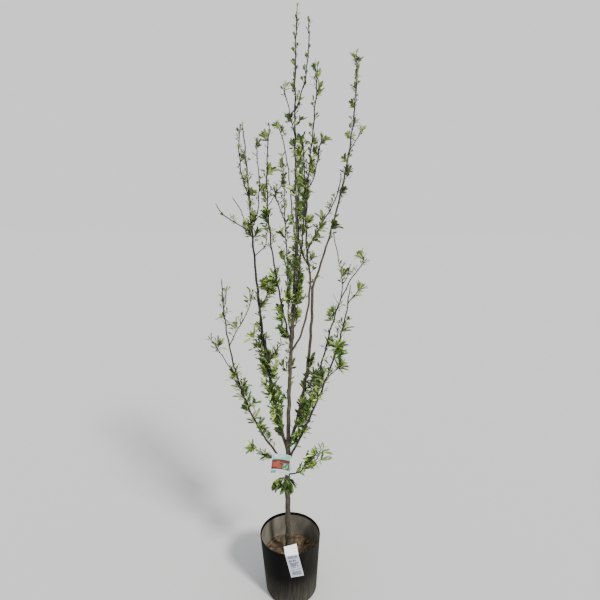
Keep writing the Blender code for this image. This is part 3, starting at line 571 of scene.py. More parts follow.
BOUGHS = (
    Limb("left_low", "leader", 0.590, (-0.256, -0.130, 1.373),
         (42, -166), (21, -82), (0.0046, 0.0014), 0.705, leaf=0.85, lush=0.8, shoot=0.012, ripens=0.10),
    Limb("left_tall", "leader", 0.640, (-0.218, 0.180, 1.951),
         (18, 167), (8, 142), (0.0066, 0.0014), 0.755, lush=1.1, shoot=0.010, ripens=0.25),
    Limb("right_front", "leader", 0.603, (0.189, -0.160, 1.369),
         (27, -43), (20, -88), (0.0050, 0.0014), 0.730, ripens=0.12),
    Limb("right", "leader", 0.661, (0.066, 0.050, 1.323),
         (19, 4), (2, 111), (0.0064, 0.0048), 9.0, ripens=9.0),
    Limb("right_back", "right", 0.746, (0.270, 0.100, 1.419),
         (36, 13), (43, 10), (0.0044, 0.0014), 0.850, ripens=0.12),
    Limb("centre", "leader", 1.080, (0.053, -0.060, 1.394),
         (42, -42), (24, -99), (0.0040, 0.0032), 9.0, ripens=9.0),
)

STEMS = (
    # young=0.7 darkens the top's leaves as painted shade.
    Limb("top", "leader", 9.0, (-0.007, 0.0, 2.268),
         (2, 175), (2, -15), (0.0042, 0.0014), young=0.7, shoot=0.024, ripens=0.40),
    Limb("right_tall", "right", 9.0, (0.216, 0.150, 2.192),
         (19, 12), (4, 133), (0.0043, 0.0014), young=0.8, lush=1.25, ripens=0.40),
    Limb("centre_front", "centre", 9.0, (0.061, -0.160, 2.050),
         (16, -137), (11, -88), (0.0031, 0.0014), ripens=0.20),
    Limb("front_left", "leader", 1.103, (-0.087, -0.170, 1.871),
         (16, -141), (12, -53), (0.0036, 0.0014)),
    Limb("inner_left", "leader", 1.140, (-0.049, -0.100, 1.483),
         (24, -125), (29, -133), (0.0025, 0.0014)),
    Limb("inner_back", "leader", 1.254, (-0.057, 0.120, 1.816),
         (16, 129), (13, 107), (0.0025, 0.0014)),
    Limb("back_left", "leader", 1.486, (-0.077, 0.200, 1.943),
         (29, 112), (32, 129), (0.0028, 0.0014), young=1.6),
    Limb("front", "leader", 1.213, (0.020, -0.190, 1.830),
         (15, -62), (21, -105), (0.0032, 0.0014)),
    Limb("back", "leader", 0.981, (-0.002, 0.200, 1.787),
         (14, 75), (14, 104), (0.0036, 0.0014)),
    Limb("back_low", "leader", 0.853, (0.003, 0.210, 1.373),
         (23, 102), (20, 88), (0.0032, 0.0014)),
    Limb("low_right", "leader", 0.544, (0.109, -0.050, 0.686),
         (83, -14), (17, -64), (0.0026, 0.0014), hang=0.15, young=1.7, lush=1.2),
    Limb("low_left", "leader", 0.572, (-0.167, -0.030, 0.687),
         (47, -168), (44, -166), (0.0020, 0.0014), hang=0.3, young=0.8, leaf=0.7, lush=1.4),
    # young=0.6 darkens these leaves as painted shade under the card.
    Limb("low_front", "leader", 0.552, (-0.036, -0.050, 0.546),
         (94, -97), (92, -91), (0.0020, 0.0016), hang=0.95, young=0.6, lush=1.2),
)

TWIGS = (
    Limb("left_low_outer", "left_low", 0.996, (-0.301, -0.100, 1.145),
         (46, -155), (39, -147), (0.0018, 0.0014), lush=0.8),
    Limb("left_low_inner", "left_low", 1.118, (-0.164, -0.020, 1.309),
         (25, 31), (12, 81), (0.0018, 0.0014), lush=0.7),
    Limb("left_outer", "left_tall", 1.504, (-0.295, 0.020, 1.631),
         (23, -133), (25, -142), (0.0024, 0.0014), shoot=0.012),
    Limb("left_outer_back", "left_outer", 1.547, (-0.256, 0.160, 1.661),
         (28, 97), (51, 142), (0.0018, 0.0014), shoot=0.010),
    Limb("left_second", "left_tall", 1.662, (-0.210, 0.050, 1.908),
         (28, -139), (21, -59), (0.0022, 0.0014)),
    Limb("left_twin", "left_tall", 0.949, (-0.113, -0.030, 1.152),
         (18, -77), (17, -102), (0.0022, 0.0014)),
    Limb("left_inner", "left_tall", 1.568, (-0.057, 0.050, 1.713),
         (61, -21), (40, -30), (0.0016, 0.0014)),
    Limb("top_right", "top", 1.957, (0.032, -0.060, 2.215),
         (28, -24), (14, -112), (0.0022, 0.0014), young=0.7),
    Limb("top_back", "top", 1.864, (-0.051, 0.050, 2.048),
         (19, 127), (20, 131), (0.0018, 0.0014)),
    Limb("centre_side", "centre_front", 1.691, (0.078, -0.190, 1.833),
         (46, -21), (29, -40), (0.0018, 0.0014)),
    Limb("centre_right", "centre_front", 1.468, (0.150, -0.100, 1.743),
         (15, -5), (3, 167), (0.0022, 0.0014)),
    Limb("left_rise", "left_tall", 1.546, (-0.157, 0.110, 1.868),
         (26, -3), (4, -144), (0.0022, 0.0014)),
    # young=6.0 makes this cluster paler, for its young growth and as painted sunlight on it.
    Limb("left_cluster", "left_tall", 1.235, (-0.101, 0.020, 1.337),
         (41, -37), (24, -84), (0.0020, 0.0014), young=6.0, leaf=0.92, lush=1.6, shoot=0.020),
    Limb("left_spur", "left_tall", 1.437, (-0.113, 0.060, 1.514),
         (54, -37), (28, -94), (0.0017, 0.0014)),
    Limb("left_twin_side", "left_twin", 1.035, (-0.056, -0.030, 1.112),
         (48, -40), (48, -40), (0.0017, 0.0014)),
    Limb("left_low_fork", "left_low", 1.270, (-0.246, -0.100, 1.326),
         (30, 20), (10, 0), (0.0016, 0.0014)),
    Limb("inner_back_side", "inner_back", 1.568, (-0.078, 0.090, 1.703),
         (14, 165), (15, -1), (0.0020, 0.0014)),
    Limb("centre_left", "centre_front", 1.425, (0.004, -0.050, 1.669),
         (39, 175), (5, 137), (0.0034, 0.0014)),
    Limb("right_spike", "right_back", 1.258, (0.148, 0.120, 1.538),
         (22, 22), (10, 126), (0.0020, 0.0014), lush=0.8),
    Limb("right_fork", "right_spike", 1.333, (0.214, 0.080, 1.412),
         (43, -9), (13, -35), (0.0016, 0.0014)),
    Limb("right_side", "right_front", 1.300, (0.222, -0.130, 1.352),
         (24, 10), (18, 14), (0.0018, 0.0014)),
    Limb("right_front_side", "right_front", 1.009, (0.160, -0.140, 1.069),
         (57, -44), (47, -55), (0.0018, 0.0014)),
    Limb("right_tall_side", "right_tall", 1.844, (0.241, 0.150, 1.923),
         (37, 40), (30, 59), (0.0018, 0.0014)),
    Limb("right_back_end", "right_back", 9.0, (0.263, 0.100, 1.446),
         (22, 40), (-20, 10), (0.0016, 0.0014), young=2.0, lush=0.8),
)


# Where the large bunches stand on each limb: their height, how far to the right they sit in millimetres, and how
# many leaves they have.
BUNCHES: dict[str, tuple[tuple[float, int, int], ...]] = {
    "left_low": (
        (0.707, 5, 3), (0.722, 8, 3), (0.745, 8, 3), (0.761, 2, 6), (0.785, 4, 4), (0.800, -6, 3),
        (0.817, 9, 4), (0.835, -6, 3), (0.848, 2, 6), (0.862, -6, 3), (0.868, 17, 4), (0.890, 8, 4),
        (0.900, -8, 3), (0.911, 0, 5), (0.935, 8, 4), (0.945, -8, 3), (0.955, 12, 4), (0.967, -30, 4),
        (0.985, -6, 3), (1.232, -3, 2), (1.252, 12, 1),
    ),
    "left_tall": (
        (0.653, 5, 7), (0.676, 5, 6), (0.699, 5, 6), (0.718, -6, 6), (0.741, 5, 7), (0.760, 16, 6), (0.764, -13, 7),
        (0.791, 9, 6), (0.795, -13, 6), (0.822, -3, 4), (0.822, 19, 4), (0.841, 18, 5), (0.853, -1, 5),
        (0.876, 3, 7), (0.896, 16, 5), (0.907, -6, 5), (0.923, -25, 4), (0.934, 31, 1), (0.960, -8, 4), (0.985, -13, 7),
        (1.012, -16, 5), (1.036, -2, 4), (1.063, -18, 5), (1.079, -35, 4), (1.103, -2, 4), (1.122, -44, 5),
        (1.158, -15, 3), (1.240, -4, 6), (1.521, 14, 5), (1.545, 2, 5),
        (1.585, 8, 6), (1.633, 0, 2), (1.736, 4, 3), (1.820, -11, 4),
    ),
    "right_front": (
        (0.711, -9, 6), (0.737, 4, 5), (0.748, -15, 5), (0.759, 5, 5), (0.781, -3, 5), (0.812, 0, 5),
        (0.842, 0, 6), (0.876, -4, 7), (0.915, -5, 5), (0.969, -10, 4), (0.988, -7, 4), (1.003, -12, 4),
        (1.096, 18, 3), (1.108, 1, 4), (1.131, 12, 4), (1.135, -4, 4), (1.201, 4, 6),
    ),
    "right_back": (
        (0.746, -20, 8), (0.763, -3, 5), (0.783, 4, 5), (0.797, -11, 5), (0.804, 11, 4), (0.833, 0, 7),
        (0.848, -22, 6), (0.866, 1, 6), (0.893, 2, 3), (0.901, -26, 3), (0.916, -42, 3), (0.916, -6, 4),
        (0.943, -39, 4), (0.955, 2, 4), (0.959, -18, 3), (0.979, -3, 4), (1.092, 2, 7),
        (1.203, -18, 4), (1.218, -10, 4), (1.410, -6, 1),
    ),
    "top": (
        (1.685, -6, 4), (1.721, 0, 5), (1.777, 5, 8), (1.842, -5, 3), (1.866, 10, 5), (1.926, 19, 3),
        (2.031, 0, 3), (2.071, -6, 1), (2.095, 1, 2), (2.107, -7, 3), (2.143, 1, 2), (2.163, 5, 2),
        (2.190, -3, 2), (2.236, 6, 2), (2.244, -4, 1),
    ),
    "right": (
        (1.007, 2, 4), (1.023, 9, 5),
    ),
    "right_tall": (
        (1.323, -13, 1), (1.559, 8, 7), (1.692, -3, 4), (1.764, 2, 4), (1.811, -4, 3), (1.895, 2, 5),
        (1.943, 3, 3), (2.011, -8, 7), (2.071, -7, 4), (2.087, 7, 2), (2.104, 8, 2), (2.128, 7, 3),
        (2.160, 11, 3), (2.168, -1, 3), (2.176, -12, 5),
    ),
    "centre_front": (
        (1.394, -2, 1), (1.402, 15, 1), (1.449, 15, 3), (1.500, -5, 3), (1.584, -1, 4), (1.608, -2, 5),
        (1.632, -3, 5), (1.656, 2, 7), (1.700, 2, 7), (1.773, -4, 4), (1.837, 9, 4), (1.886, 2, 1),
        (1.982, 1, 3), (1.994, -4, 5), (2.014, -8, 2), (2.022, 7, 1), (2.030, -4, 3), (2.046, 2, 3),
    ),
    "front_left": (
        (1.142, 4, 7), (1.149, -17, 5), (1.169, -25, 5), (1.216, -17, 3), (1.216, 2, 3), (1.248, -6, 3), (1.352, -8, 5),
        (1.379, 4, 3), (1.528, 7, 1), (1.548, -4, 2), (1.584, -2, 4), (1.607, -2, 6),
        (1.658, -8, 3), (1.682, 14, 1), (1.741, -2, 7), (1.845, -5, 6),
    ),
    "inner_left": (
        (1.184, -2, 5), (1.208, -3, 4), (1.291, 2, 5), (1.304, -5, 5), (1.382, -4, 5), (1.454, -1, 6),
    ),
    "inner_back": (
        (1.341, -3, 6), (1.373, 10, 4), (1.416, 5, 3), (1.527, -13, 5), (1.634, -4, 1), (1.677, 10, 1),
        (1.745, -4, 3), (1.784, -2, 4),
    ),
    "back_left": (
        (1.575, -15, 3), (1.925, 5, 4), (1.943, 1, 5),
    ),
    "front": (
        (1.281, 14, 5), (1.293, 40, 1), (1.301, 11, 6), (1.320, 11, 5), (1.351, 23, 5), (1.367, 13, 6),
        (1.421, 0, 6), (1.541, 6, 7), (1.614, -10, 5), (1.679, 3, 6), (1.705, -10, 5), (1.732, -10, 6),
        (1.781, -12, 6), (1.796, 0, 6), (1.822, -4, 4), (1.830, 2, 5),
    ),
    "back": (
        (1.197, 9, 5), (1.209, 12, 5), (1.291, 11, 5), (1.326, 0, 6), (1.393, -13, 5), (1.428, 3, 5), (1.463, 4, 4), (1.584, 10, 4),
        (1.682, 0, 4), (1.713, 1, 5),
    ),
    "back_low": (
        (0.854, -8, 1), (0.895, -28, 7), (0.991, -27, 3), (0.995, 4, 3), (1.051, -2, 1), (1.174, -2, 4),
        (1.331, -9, 5), (1.358, 4, 5),
    ),
    "low_right": (
        (0.554, -1, 2), (0.564, -3, 2), (0.591, -2, 5), (0.623, -19, 6), (0.627, 1, 8), (0.642, 28, 3),
        (0.662, -14, 4), (0.682, 17, 2),
    ),
    "low_left": (
        (0.625, -8, 5), (0.633, -14, 4), (0.637, -7, 4), (0.680, 0, 5), (0.686, 5, 5),
    ),
    "low_front": (
        (0.546, -32, 5), (0.546, -18, 6), (0.546, -11, 5), (0.546, -3, 6), (0.546, 8, 6), (0.546, 12, 6),
        (0.546, 19, 4),
    ),
    "left_low_outer": (
        (1.002, -6, 5), (1.128, 0, 5),
    ),
    "left_low_inner": (
        (1.190, -5, 4), (1.285, -6, 2), (1.305, 0, 1),
    ),
    "left_outer": (
        (1.520, -1, 4), (1.556, 9, 4),
    ),
    "left_outer_back": (),
    "left_second": (
        (1.683, -1, 7), (1.750, -2, 1), (1.804, 10, 3), (1.812, -1, 2), (1.842, 0, 2), (1.895, -4, 2),
    ),
    "left_twin": (
        (0.962, 14, 5), (1.000, 20, 4), (1.028, 1, 3),
    ),
    "left_inner": (
        (1.571, 2, 5), (1.713, -1, 7),
    ),
    "top_right": (
        (1.992, 5, 2), (2.050, 3, 2), (2.082, -8, 2), (2.118, -2, 2), (2.191, -7, 1),
    ),
    "top_back": (
        (1.936, -1, 7), (2.048, 2, 3),
    ),
    "centre_side": (
        (1.746, -2, 7), (1.797, -3, 6), (1.833, 0, 5),
    ),
    "centre_right": (
        (1.522, 11, 5), (1.559, 1, 5), (1.588, 4, 2), (1.625, 0, 1),
    ),
    "left_rise": (
        (1.699, 10, 7), (1.860, -2, 4),
    ),
    "left_cluster": (
        (1.300, 3, 4), (1.318, -9, 5), (1.326, 5, 5), (1.337, -19, 5), (1.337, -10, 6), (1.337, 2, 6),
        (1.337, 13, 5),
    ),
    "left_spur": (
        (1.510, -7, 1), (1.510, 3, 1),
    ),
    "left_twin_side": (
        (1.059, 18, 5), (1.112, 10, 1),
    ),
    "left_low_fork": (
        (1.326, -3, 1),
    ),
    "inner_back_side": (
        (1.667, 3, 1), (1.687, -1, 1),
    ),
    "right_spike": (
        (1.367, 5, 5),
    ),
    "right_fork": (),
    "right_back_end": (
        (1.440, -3, 4), (1.446, 2, 4),
    ),
    "right_side": (
        (1.352, 1, 3),
    ),
    "right_front_side": (
        (1.069, 5, 7),
    ),
    "right_tall_side": (
        (1.923, -1, 3),
    ),
}


# Short bare twigs: the limb that each leaves, the height where it does, and in millimetres how far its tip is off.
BARE_TWIGS = (
    ("right_back", 1.253, (-25, 0, 45)),
    ("right_back", 1.237, (25, 6, 14)),
    ("right_back", 1.224, (-14, 8, 34)),
    ("centre_left", 1.530, (-14, -6, 18)),
    ("inner_back", 1.515, (-21, 4, 15)),
    ("inner_left", 1.390, (-36, -6, 2)),
    ("left_low", 1.205, (-16, -8, 26)),
    ("left_tall", 1.462, (-14, 10, 22)),
    ("right_tall", 1.640, (16, 8, 24)),
    ("right_front", 1.165, (18, 4, 26)),
)


@dataclass
class Skeleton:
    """The lines and radii of all limbs, and which mass each belongs to.

    Attributes:
        step: how far apart the points of a line are.
        crook: the depth of the slight crooks.
        crook_waves: their lengths along the limb.
        settle: how far from each end they fade in.
        trunk_stations: (height, radius) of the trunk between its foot and its tip.
        flare: how much the trunk widens at its foot, and over what height that fades.
        least: the least radius of any limb.
        tip_share: a limb's radius at its tip as a share of its stated one.
        near: how far away a leaf looks for other limbs.
    """

    step: float = 0.004
    crook: float = 0.0018
    crook_waves: tuple[float, ...] = (0.115, 0.071)
    settle: float = 0.05
    foot: tuple[float, float, float] = (-0.015, 0.0, 0.1678)
    trunk_stations: tuple[tuple[float, float], ...] = (
        (0.168, 0.0118), (0.600, 0.0104), (0.740, 0.0084), (1.150, 0.0062), (1.512, 0.0042))
    flare: tuple[float, float] = (0.0062, 0.022)
    least: float = 0.0015
    tip_share: float = 1.15
    near: float = 0.12
    lines: dict[str, np.ndarray] = field(default_factory=dict)
    radii: dict[str, np.ndarray] = field(default_factory=dict)
    owner: dict[str, str] = field(default_factory=dict)
    points: np.ndarray = field(default_factory=lambda: np.zeros((0, 3)))
    thick: np.ndarray = field(default_factory=lambda: np.zeros(0))
    owners: np.ndarray = field(default_factory=lambda: np.zeros(0, dtype=object))

    def grow(self) -> None:
        """Works out every limb, parents before children."""
        for limb in (LEADER, *BOUGHS, *STEMS, *TWIGS):
            self.owner[limb.name] = self.owner[limb.parent] if limb in TWIGS else "foliage_" + limb.name
            line = self.curve(limb)
            radii = self.trunk_radii(line) if limb is LEADER else self.limb_radii(limb, line)
            self.lines[limb.name], self.radii[limb.name] = line, radii
            self.keep_clear(self.owners_along(limb, line), line, radii)

    def curve(self, limb: Limb) -> np.ndarray:
        """The cubic from foot to tip whose end directions are the limb's own, each as long as the chord.

        To it are added, across the limb and fading in from both ends, sine waves of the crooks' lengths.

        Args:
            limb: the limb.

        Returns:
            Its line, points by 3.
        """
        foot = np.array(self.foot)
        if limb.parent:
            parent = self.lines[limb.parent]
            foot = parent[self.at_height(parent, limb.at)]
        tip = np.array(limb.tip)
        chord = np.linalg.norm(tip - foot)
        out, back = heading_vector(*limb.leave) * chord, heading_vector(*limb.arrive) * chord
        t = np.linspace(0, 1, max(8, int(chord / self.step)))[:, None]
        line = (2 * t**3 - 3 * t**2 + 1) * foot + (t**3 - 2 * t**2 + t) * out
        line += (3 * t**2 - 2 * t**3) * tip + (t**3 - t**2) * back
        along = lengths(line)
        rule = random.Random(SEED + len(self.lines))
        fade = np.clip(np.minimum(along, along[-1] - along) / self.settle, 0, 1)
        for axis in (0, 1):
            for wave in self.crook_waves:
                line[:, axis] += self.crook / 2 * fade * np.sin(math.tau * along / wave + rule.uniform(0, math.tau))
        return line

    def limb_radii(self, limb: Limb, line: np.ndarray) -> np.ndarray:
        """The radius along a limb: it falls from foot to tip by a power law and swells into a collar at the foot."""
        along = lengths(line)
        foot, tip = limb.radii
        radii = tip * self.tip_share + (foot - tip * self.tip_share) * (1 - along / along[-1]) ** 0.7
        return np.maximum(radii * (1 + 0.25 * np.exp(-along / 0.02)), self.least)

    def trunk_radii(self, line: np.ndarray) -> np.ndarray:
        """The trunk's radius along its line: its stations joined straight, plus a root flare that fades upwards."""
        heights, radii = zip(*self.trunk_stations)
        return np.interp(line[:, 2], heights, radii) + self.flare[0] * np.exp(-(line[:, 2] - line[0, 2]) / self.flare[1])

    @staticmethod
    def youth(limb: Limb, line: np.ndarray) -> np.ndarray:
        """How young a limb's bark is: the way from its foot as a share of the way that it takes to turn young."""
        return np.minimum((lengths(line) + 1e-6) / max(limb.ripens, 1e-6), 1)

    @staticmethod
    def at_height(line: np.ndarray, height: float) -> int:
        """The index of a line's point at this height, or of its tip where the line doesn't reach it."""
        return len(line) - 1 if height > line[-1, 2] else int(np.argmin(np.abs(line[:, 2] - height)))

    def owners_along(self, limb: Limb, line: np.ndarray) -> np.ndarray:
        """Which piece each point of a limb belongs to: its bough up to the bare height, and its mass above."""
        owners = np.full(len(line), self.owner[limb.name], dtype=object)
        if limb in BOUGHS:
            owners[: self.at_height(line, limb.bare_to) + 1] = "bough_" + limb.name
        return owners

    def keep_clear(self, owners: np.ndarray | str, points: np.ndarray, thick: np.ndarray | float) -> None:
        """Adds points that the leaves of every other piece keep clear of."""
        self.points = np.concatenate((self.points, points))
        self.thick = np.concatenate((self.thick, np.broadcast_to(thick, (len(points),))))
        many = np.full(len(points), owners, dtype=object) if isinstance(owners, str) else owners
        self.owners = np.concatenate((self.owners, many))

    def in_space(self, probes: np.ndarray, owner: tuple[str, ...], margin: float = 0.0012) -> np.ndarray:
        """Which leaves lie in their mass's space: every probe is nearer its own mass's limbs than another's skin.

        Args:
            probes: leaves by probes by 3.
            owner: the mass and the boughs that carry it.
            margin: how much nearer it has to be.

        Returns:
            One truth value for each leaf.
        """
        near = np.abs(self.points - probes.reshape(-1, 3).mean(axis=0)).max(axis=1) < self.near
        points, thick, owners = self.points[near], self.thick[near], self.owners[near]
        own = np.isin(owners, owner)
        apart = np.linalg.norm(probes[:, :, None] - points[None, None], axis=3)
        mine = apart[..., own].min(axis=2, initial=self.near)
        other = (apart[..., ~own] - thick[None, None, ~own]).min(axis=2, initial=self.near + margin * 2)
        return (mine + margin < other).all(axis=1)


@dataclass
class Foliage:
    """One mass: the whips that carry on from a bough or the trunk, with their spurs, twigs, buds and leaves.

    Attributes:
        name: the mass's node.
        stem: the limb that it grows along.
        skeleton: the limbs.
        seed: seeds its rule of chance.
        gap: the distance between small clusters on a limb with no large bunches of its own.
        bud_gap: the distance between buds.
        small_gap: the distance between the small tufts near the large bunches.
        habit: at each of several heights, the usual length of a leaf, its width as a share of that, how many
            leaves a bunch has for each that shows, and how far the oldest lean in degrees.
        rows: how many rows of points a leaf has from its foot to its tip.
    """

    name: str
    stem: Limb
    skeleton: Skeleton
    seed: int
    gap: float = 0.034
    bud_gap: float = 0.021
    small_gap: float = 0.020
    habit: tuple[tuple[float, ...], ...] = (
        (0.55, 0.058, 0.38, 1.5, 62), (0.58, 0.052, 0.29, 1.8, 60), (0.66, 0.052, 0.29, 1.9, 60),
        (0.72, 0.042, 0.24, 4.1, 60), (1.05, 0.042, 0.25, 4.2, 58), (1.35, 0.036, 0.28, 4.8, 56),
        (1.60, 0.031, 0.31, 4.8, 54), (1.90, 0.027, 0.32, 3.8, 46), (2.05, 0.026, 0.34, 2.8, 30),
        (2.17, 0.024, 0.38, 2.2, 22), (2.26, 0.025, 0.38, 1.8, 16))
    rows: int = 7
    wood: Mesh = field(default_factory=Mesh)
    leaves: Mesh = field(default_factory=Mesh)
    leaf_count: int = 0

    def __post_init__(self) -> None:
        """Seeds the mass's own rule of chance and names the pieces that carry it."""
        self.rule = np.random.default_rng(self.seed)
        self.growing = self.stem
        self.own = (self.name, "bough_" + self.stem.name, "bough_" + self.stem.parent)

    def grow(self) -> None:
        """Grows the whips and all that stands on them."""
        line, radii = self.skeleton.lines[self.stem.name], self.skeleton.radii[self.stem.name]
        start = self.skeleton.at_height(line, self.stem.bare_to) if self.stem in BOUGHS else 0
        self.whip(self.stem, line, radii, start)
        if self.stem.at > CAD_BOX[1][2]:
            self.bunches(self.stem.parent)
        for name, height, offset in BARE_TWIGS:
            if self.skeleton.owner[name] == self.name:
                foot = self.skeleton.lines[name][self.skeleton.at_height(self.skeleton.lines[name], height)]
                t = np.linspace(0, 1, 10)[:, None]
                twig = foot + np.array(offset) / 1000 * t + UP * 0.12 * np.linalg.norm(offset) / 1000 * (t**2 - t)
                self.wood.add_wood(twig, np.linspace(0.0014, 0.0006, 10), 6)
        for twig in TWIGS:
            if self.skeleton.owner[twig.name] == self.name:
                self.whip(twig, self.skeleton.lines[twig.name], self.skeleton.radii[twig.name], 0)

    def whip(self, limb: Limb, line: np.ndarray, radii: np.ndarray, start: int) -> None:
        """One whip: its wood from an index on, its buds, its bunches of leaves and the leaves at its tip."""
        self.growing = limb
        uneven = radii * (1 + 0.06 * ripple(line, 0.02, self.seed))
        along, ways = lengths(line), frames(line)
        self.wood.add_wood(line[start:], uneven[start:], 8, self.skeleton.youth(limb, line)[start:])
        self.buds(line, radii, along, ways)
        marks = BUNCHES.get(limb.name)
        self.bunches(limb.name)
        heights = np.array([mark[0] for mark in marks or ()])
        for place in np.arange(0.02, along[-1] - 0.01, self.small_gap):
            k = int(np.argmin(np.abs(along - place + self.rule.uniform(-0.3, 0.3) * self.small_gap)))
            if marks and np.abs(heights - line[k, 2]).min() < 0.045:
                self.bunch(line, radii, k, self.rule.uniform(-0.006, 0.006), 1)
        if marks is None:
            place = self.gap
            while place < along[-1] - 0.012:
                k = int(np.argmin(np.abs(along - place)))
                self.bunch(line, radii, k, self.rule.uniform(-0.008, 0.008), int(self.rule.integers(2, 5)))
                place += self.gap * self.rule.uniform(0.6, 1.5)
        shoot = line[-1] + ways[0][-1] * np.linspace(-0.003, limb.shoot, 6)[:, None]
        self.wood.add_wood(shoot, np.linspace(radii[-1], 0.0005 + 0.03 * limb.shoot, 6), 6)
        if marks is None or (marks and limb.tip[2] - marks[-1][0] < 0.035):
            self.cluster(shoot[-2], ways[0][-1], 0.8, 4)

    def bunches(self, name: str) -> None:
        """The large bunches that stand on a limb."""
        line, radii = self.skeleton.lines[name], self.skeleton.radii[name]
        for height, sideways, count in BUNCHES.get(name, ()):
            self.bunch(line, radii, self.skeleton.at_height(line, height), sideways / 1000, count)

    def buds(self, line: np.ndarray, radii: np.ndarray, along: np.ndarray, ways: tuple[np.ndarray, ...]) -> None:
        """Buds and bare spurs along a whip, each on the next golden turn, pointing up along it."""
        places = np.arange(self.bud_gap, along[-1] - 0.006, self.bud_gap)
        places = places + self.rule.uniform(-0.3, 0.3, len(places)) * self.bud_gap
        turn = self.rule.uniform(0, math.tau)
        for place in places:
            k = int(np.argmin(np.abs(along - place)))
            turn += GOLDEN_TURN
            out = math.cos(turn) * ways[1][k] + math.sin(turn) * ways[2][k]
            reach = self.rule.uniform(0.003, 0.008)
            way = unit(ways[0][k] * 1.1 + out)
            foot = line[k] + out * radii[k] * 0.5
            steps = np.array((0, 0.35, 0.75, 1.0))[:, None] * reach
            self.wood.add_wood(foot + way * steps, np.array((0.0012, 0.0010, 0.0012, 0.0003)), 5)

    def bunch(self, line: np.ndarray, radii: np.ndarray, k: int, sideways: float, count: int) -> None:
        """A bunch of leaves beside a limb, on a spur or, where it sits further out, on a short curved twig.

        Args:
            line: the limb's line.
            radii: its radii.
            k: the index beside which the bunch stands.
            sideways: how far to the right of the limb the middle of the bunch is.
            count: how many of its leaves show.
        """
        to_right = math.copysign(1, sideways) if abs(sideways) > 0.004 else self.rule.choice((-1, 1))
        open_turn = 0.7 if abs(sideways) > 0.007 else 1.35
        turn = self.rule.uniform(-open_turn, open_turn)
        out = np.array((to_right * math.cos(turn), math.sin(turn), 0.0))
        out = unit(out) * min(1.0, self.usual(line[k, 2], 4) / 50)
        reach = self.rule.uniform(0.004, 0.008) + max(0.0, abs(sideways) - 0.009) / math.cos(turn)
        back = int(reach * 0.8 / self.skeleton.step)
        k = min(max(k - back, 1), len(line) - 2)
        tangent = unit(line[k + 1] - line[k - 1])
        root = line[k] + out * radii[k] * 0.5
        t = np.linspace(0, 1, 6)[:, None]
        twig = root + (unit(out + tangent * 0.5) * t + UP * 0.35 * t**2) * reach
        way = unit(twig[-1] - twig[-2])
        self.wood.add_wood(twig, np.linspace(0.0015, 0.0010, 6) * (0.9 if reach < 0.012 else 1.0), 6)
        if reach > 0.012:
            self.skeleton.keep_clear(self.name, twig[2:], 0.0012)
        wanted = max(2, round(count * self.usual(root[2], 3) * self.growing.lush))
        if wanted > 8:
            low = wanted * 2 // 5
            self.cluster(twig[-1], way, 1.05, wanted - low)
            self.cluster(twig[2] - tangent * 0.006, unit(way + out * 0.4), 0.9, low)
        else:
            self.cluster(twig[-1], way, 0.58 + 0.115 * min(count, 4), wanted)

    def usual(self, height: float, column: int) -> float:
        """What one of the habit's columns is at a height."""
        return float(np.interp(height, [row[0] for row in self.habit], [row[column] for row in self.habit]))

    def cluster(self, root: np.ndarray, axis: np.ndarray, small: float, count: int) -> None:
        """A rosette of leaves. Each turns by the golden angle, and the older ones are longer and lean more.

        More leaves are tried than wanted, and the first that lie in the mass's space are kept.

        Args:
            root: where the leaves spring from.
            axis: the spur's direction.
            small: the size of its leaves as a share of the usual one.
            count: how many leaves it has.
        """
        tried = 2 * count + 2
        number = np.arange(tried)
        age = self.rule.permutation((number + 0.5) / tried)
        turns = number * GOLDEN_TURN + self.rule.uniform(0, math.tau)
        lean = np.radians(10 + (self.usual(root[2], 4) - 10) * age + self.rule.uniform(-9, 9, tried))
        side = unit(np.cross(axis, (0.31, 0.86, 0.4)))
        other = np.cross(axis, side)
        out = np.cos(turns)[:, None] * side + np.sin(turns)[:, None] * other
        pointing = unit(np.cos(lean)[:, None] * axis + np.sin(lean)[:, None] * out + UP * (0.18 - self.growing.hang))
        size = self.usual(root[2], 1) * self.growing.leaf * small * (0.60 + 0.48 * age)
        size = size * self.rule.uniform(0.85, 1.15, tried)
        roots = root + out * 0.0012 - axis * 0.0015 * (1 - age)[:, None]
        facing = unit(np.cos(lean)[:, None] * -out + np.sin(lean)[:, None] * axis)
        roll = self.rule.uniform(-0.6, 0.6, tried)
        across = np.cross(pointing, facing)
        facing = unit(np.cos(roll)[:, None] * facing + np.sin(roll)[:, None] * across)
        points = self.blades(roots, pointing, facing, size)
        fits = self.skeleton.in_space(points[:, 3::3, ::2].reshape(tried, -1, 3), self.own)
        low_box, high_box = np.array(CAD_BOX[0]) - 0.004, np.array(CAD_BOX[1]) + (0.004, 0.004, 0.008)
        fits &= ((points > low_box) & (points < high_box)).all(axis=(1, 2, 3))
        points = points[fits][:count]
        if not len(points):
            return
        # The spray's shades, whose palest are painted sunlight and deepest painted shade, weighted by its limb's young.
        spray = self.rule.dirichlet(shade_shares(root[2], self.growing.young) * 9)
        shades = self.rule.choice(len(LeafShade), len(points), p=spray)
        rows, columns = points.shape[1:3]
        one = grid_faces(rows, columns, False)
        faces = (one[None] + (np.arange(len(points)) * rows * columns)[:, None, None]).reshape(-1, 4)
        self.leaves.add(points, [faces], np.repeat(shades, len(one)))
        self.leaf_count += len(points)

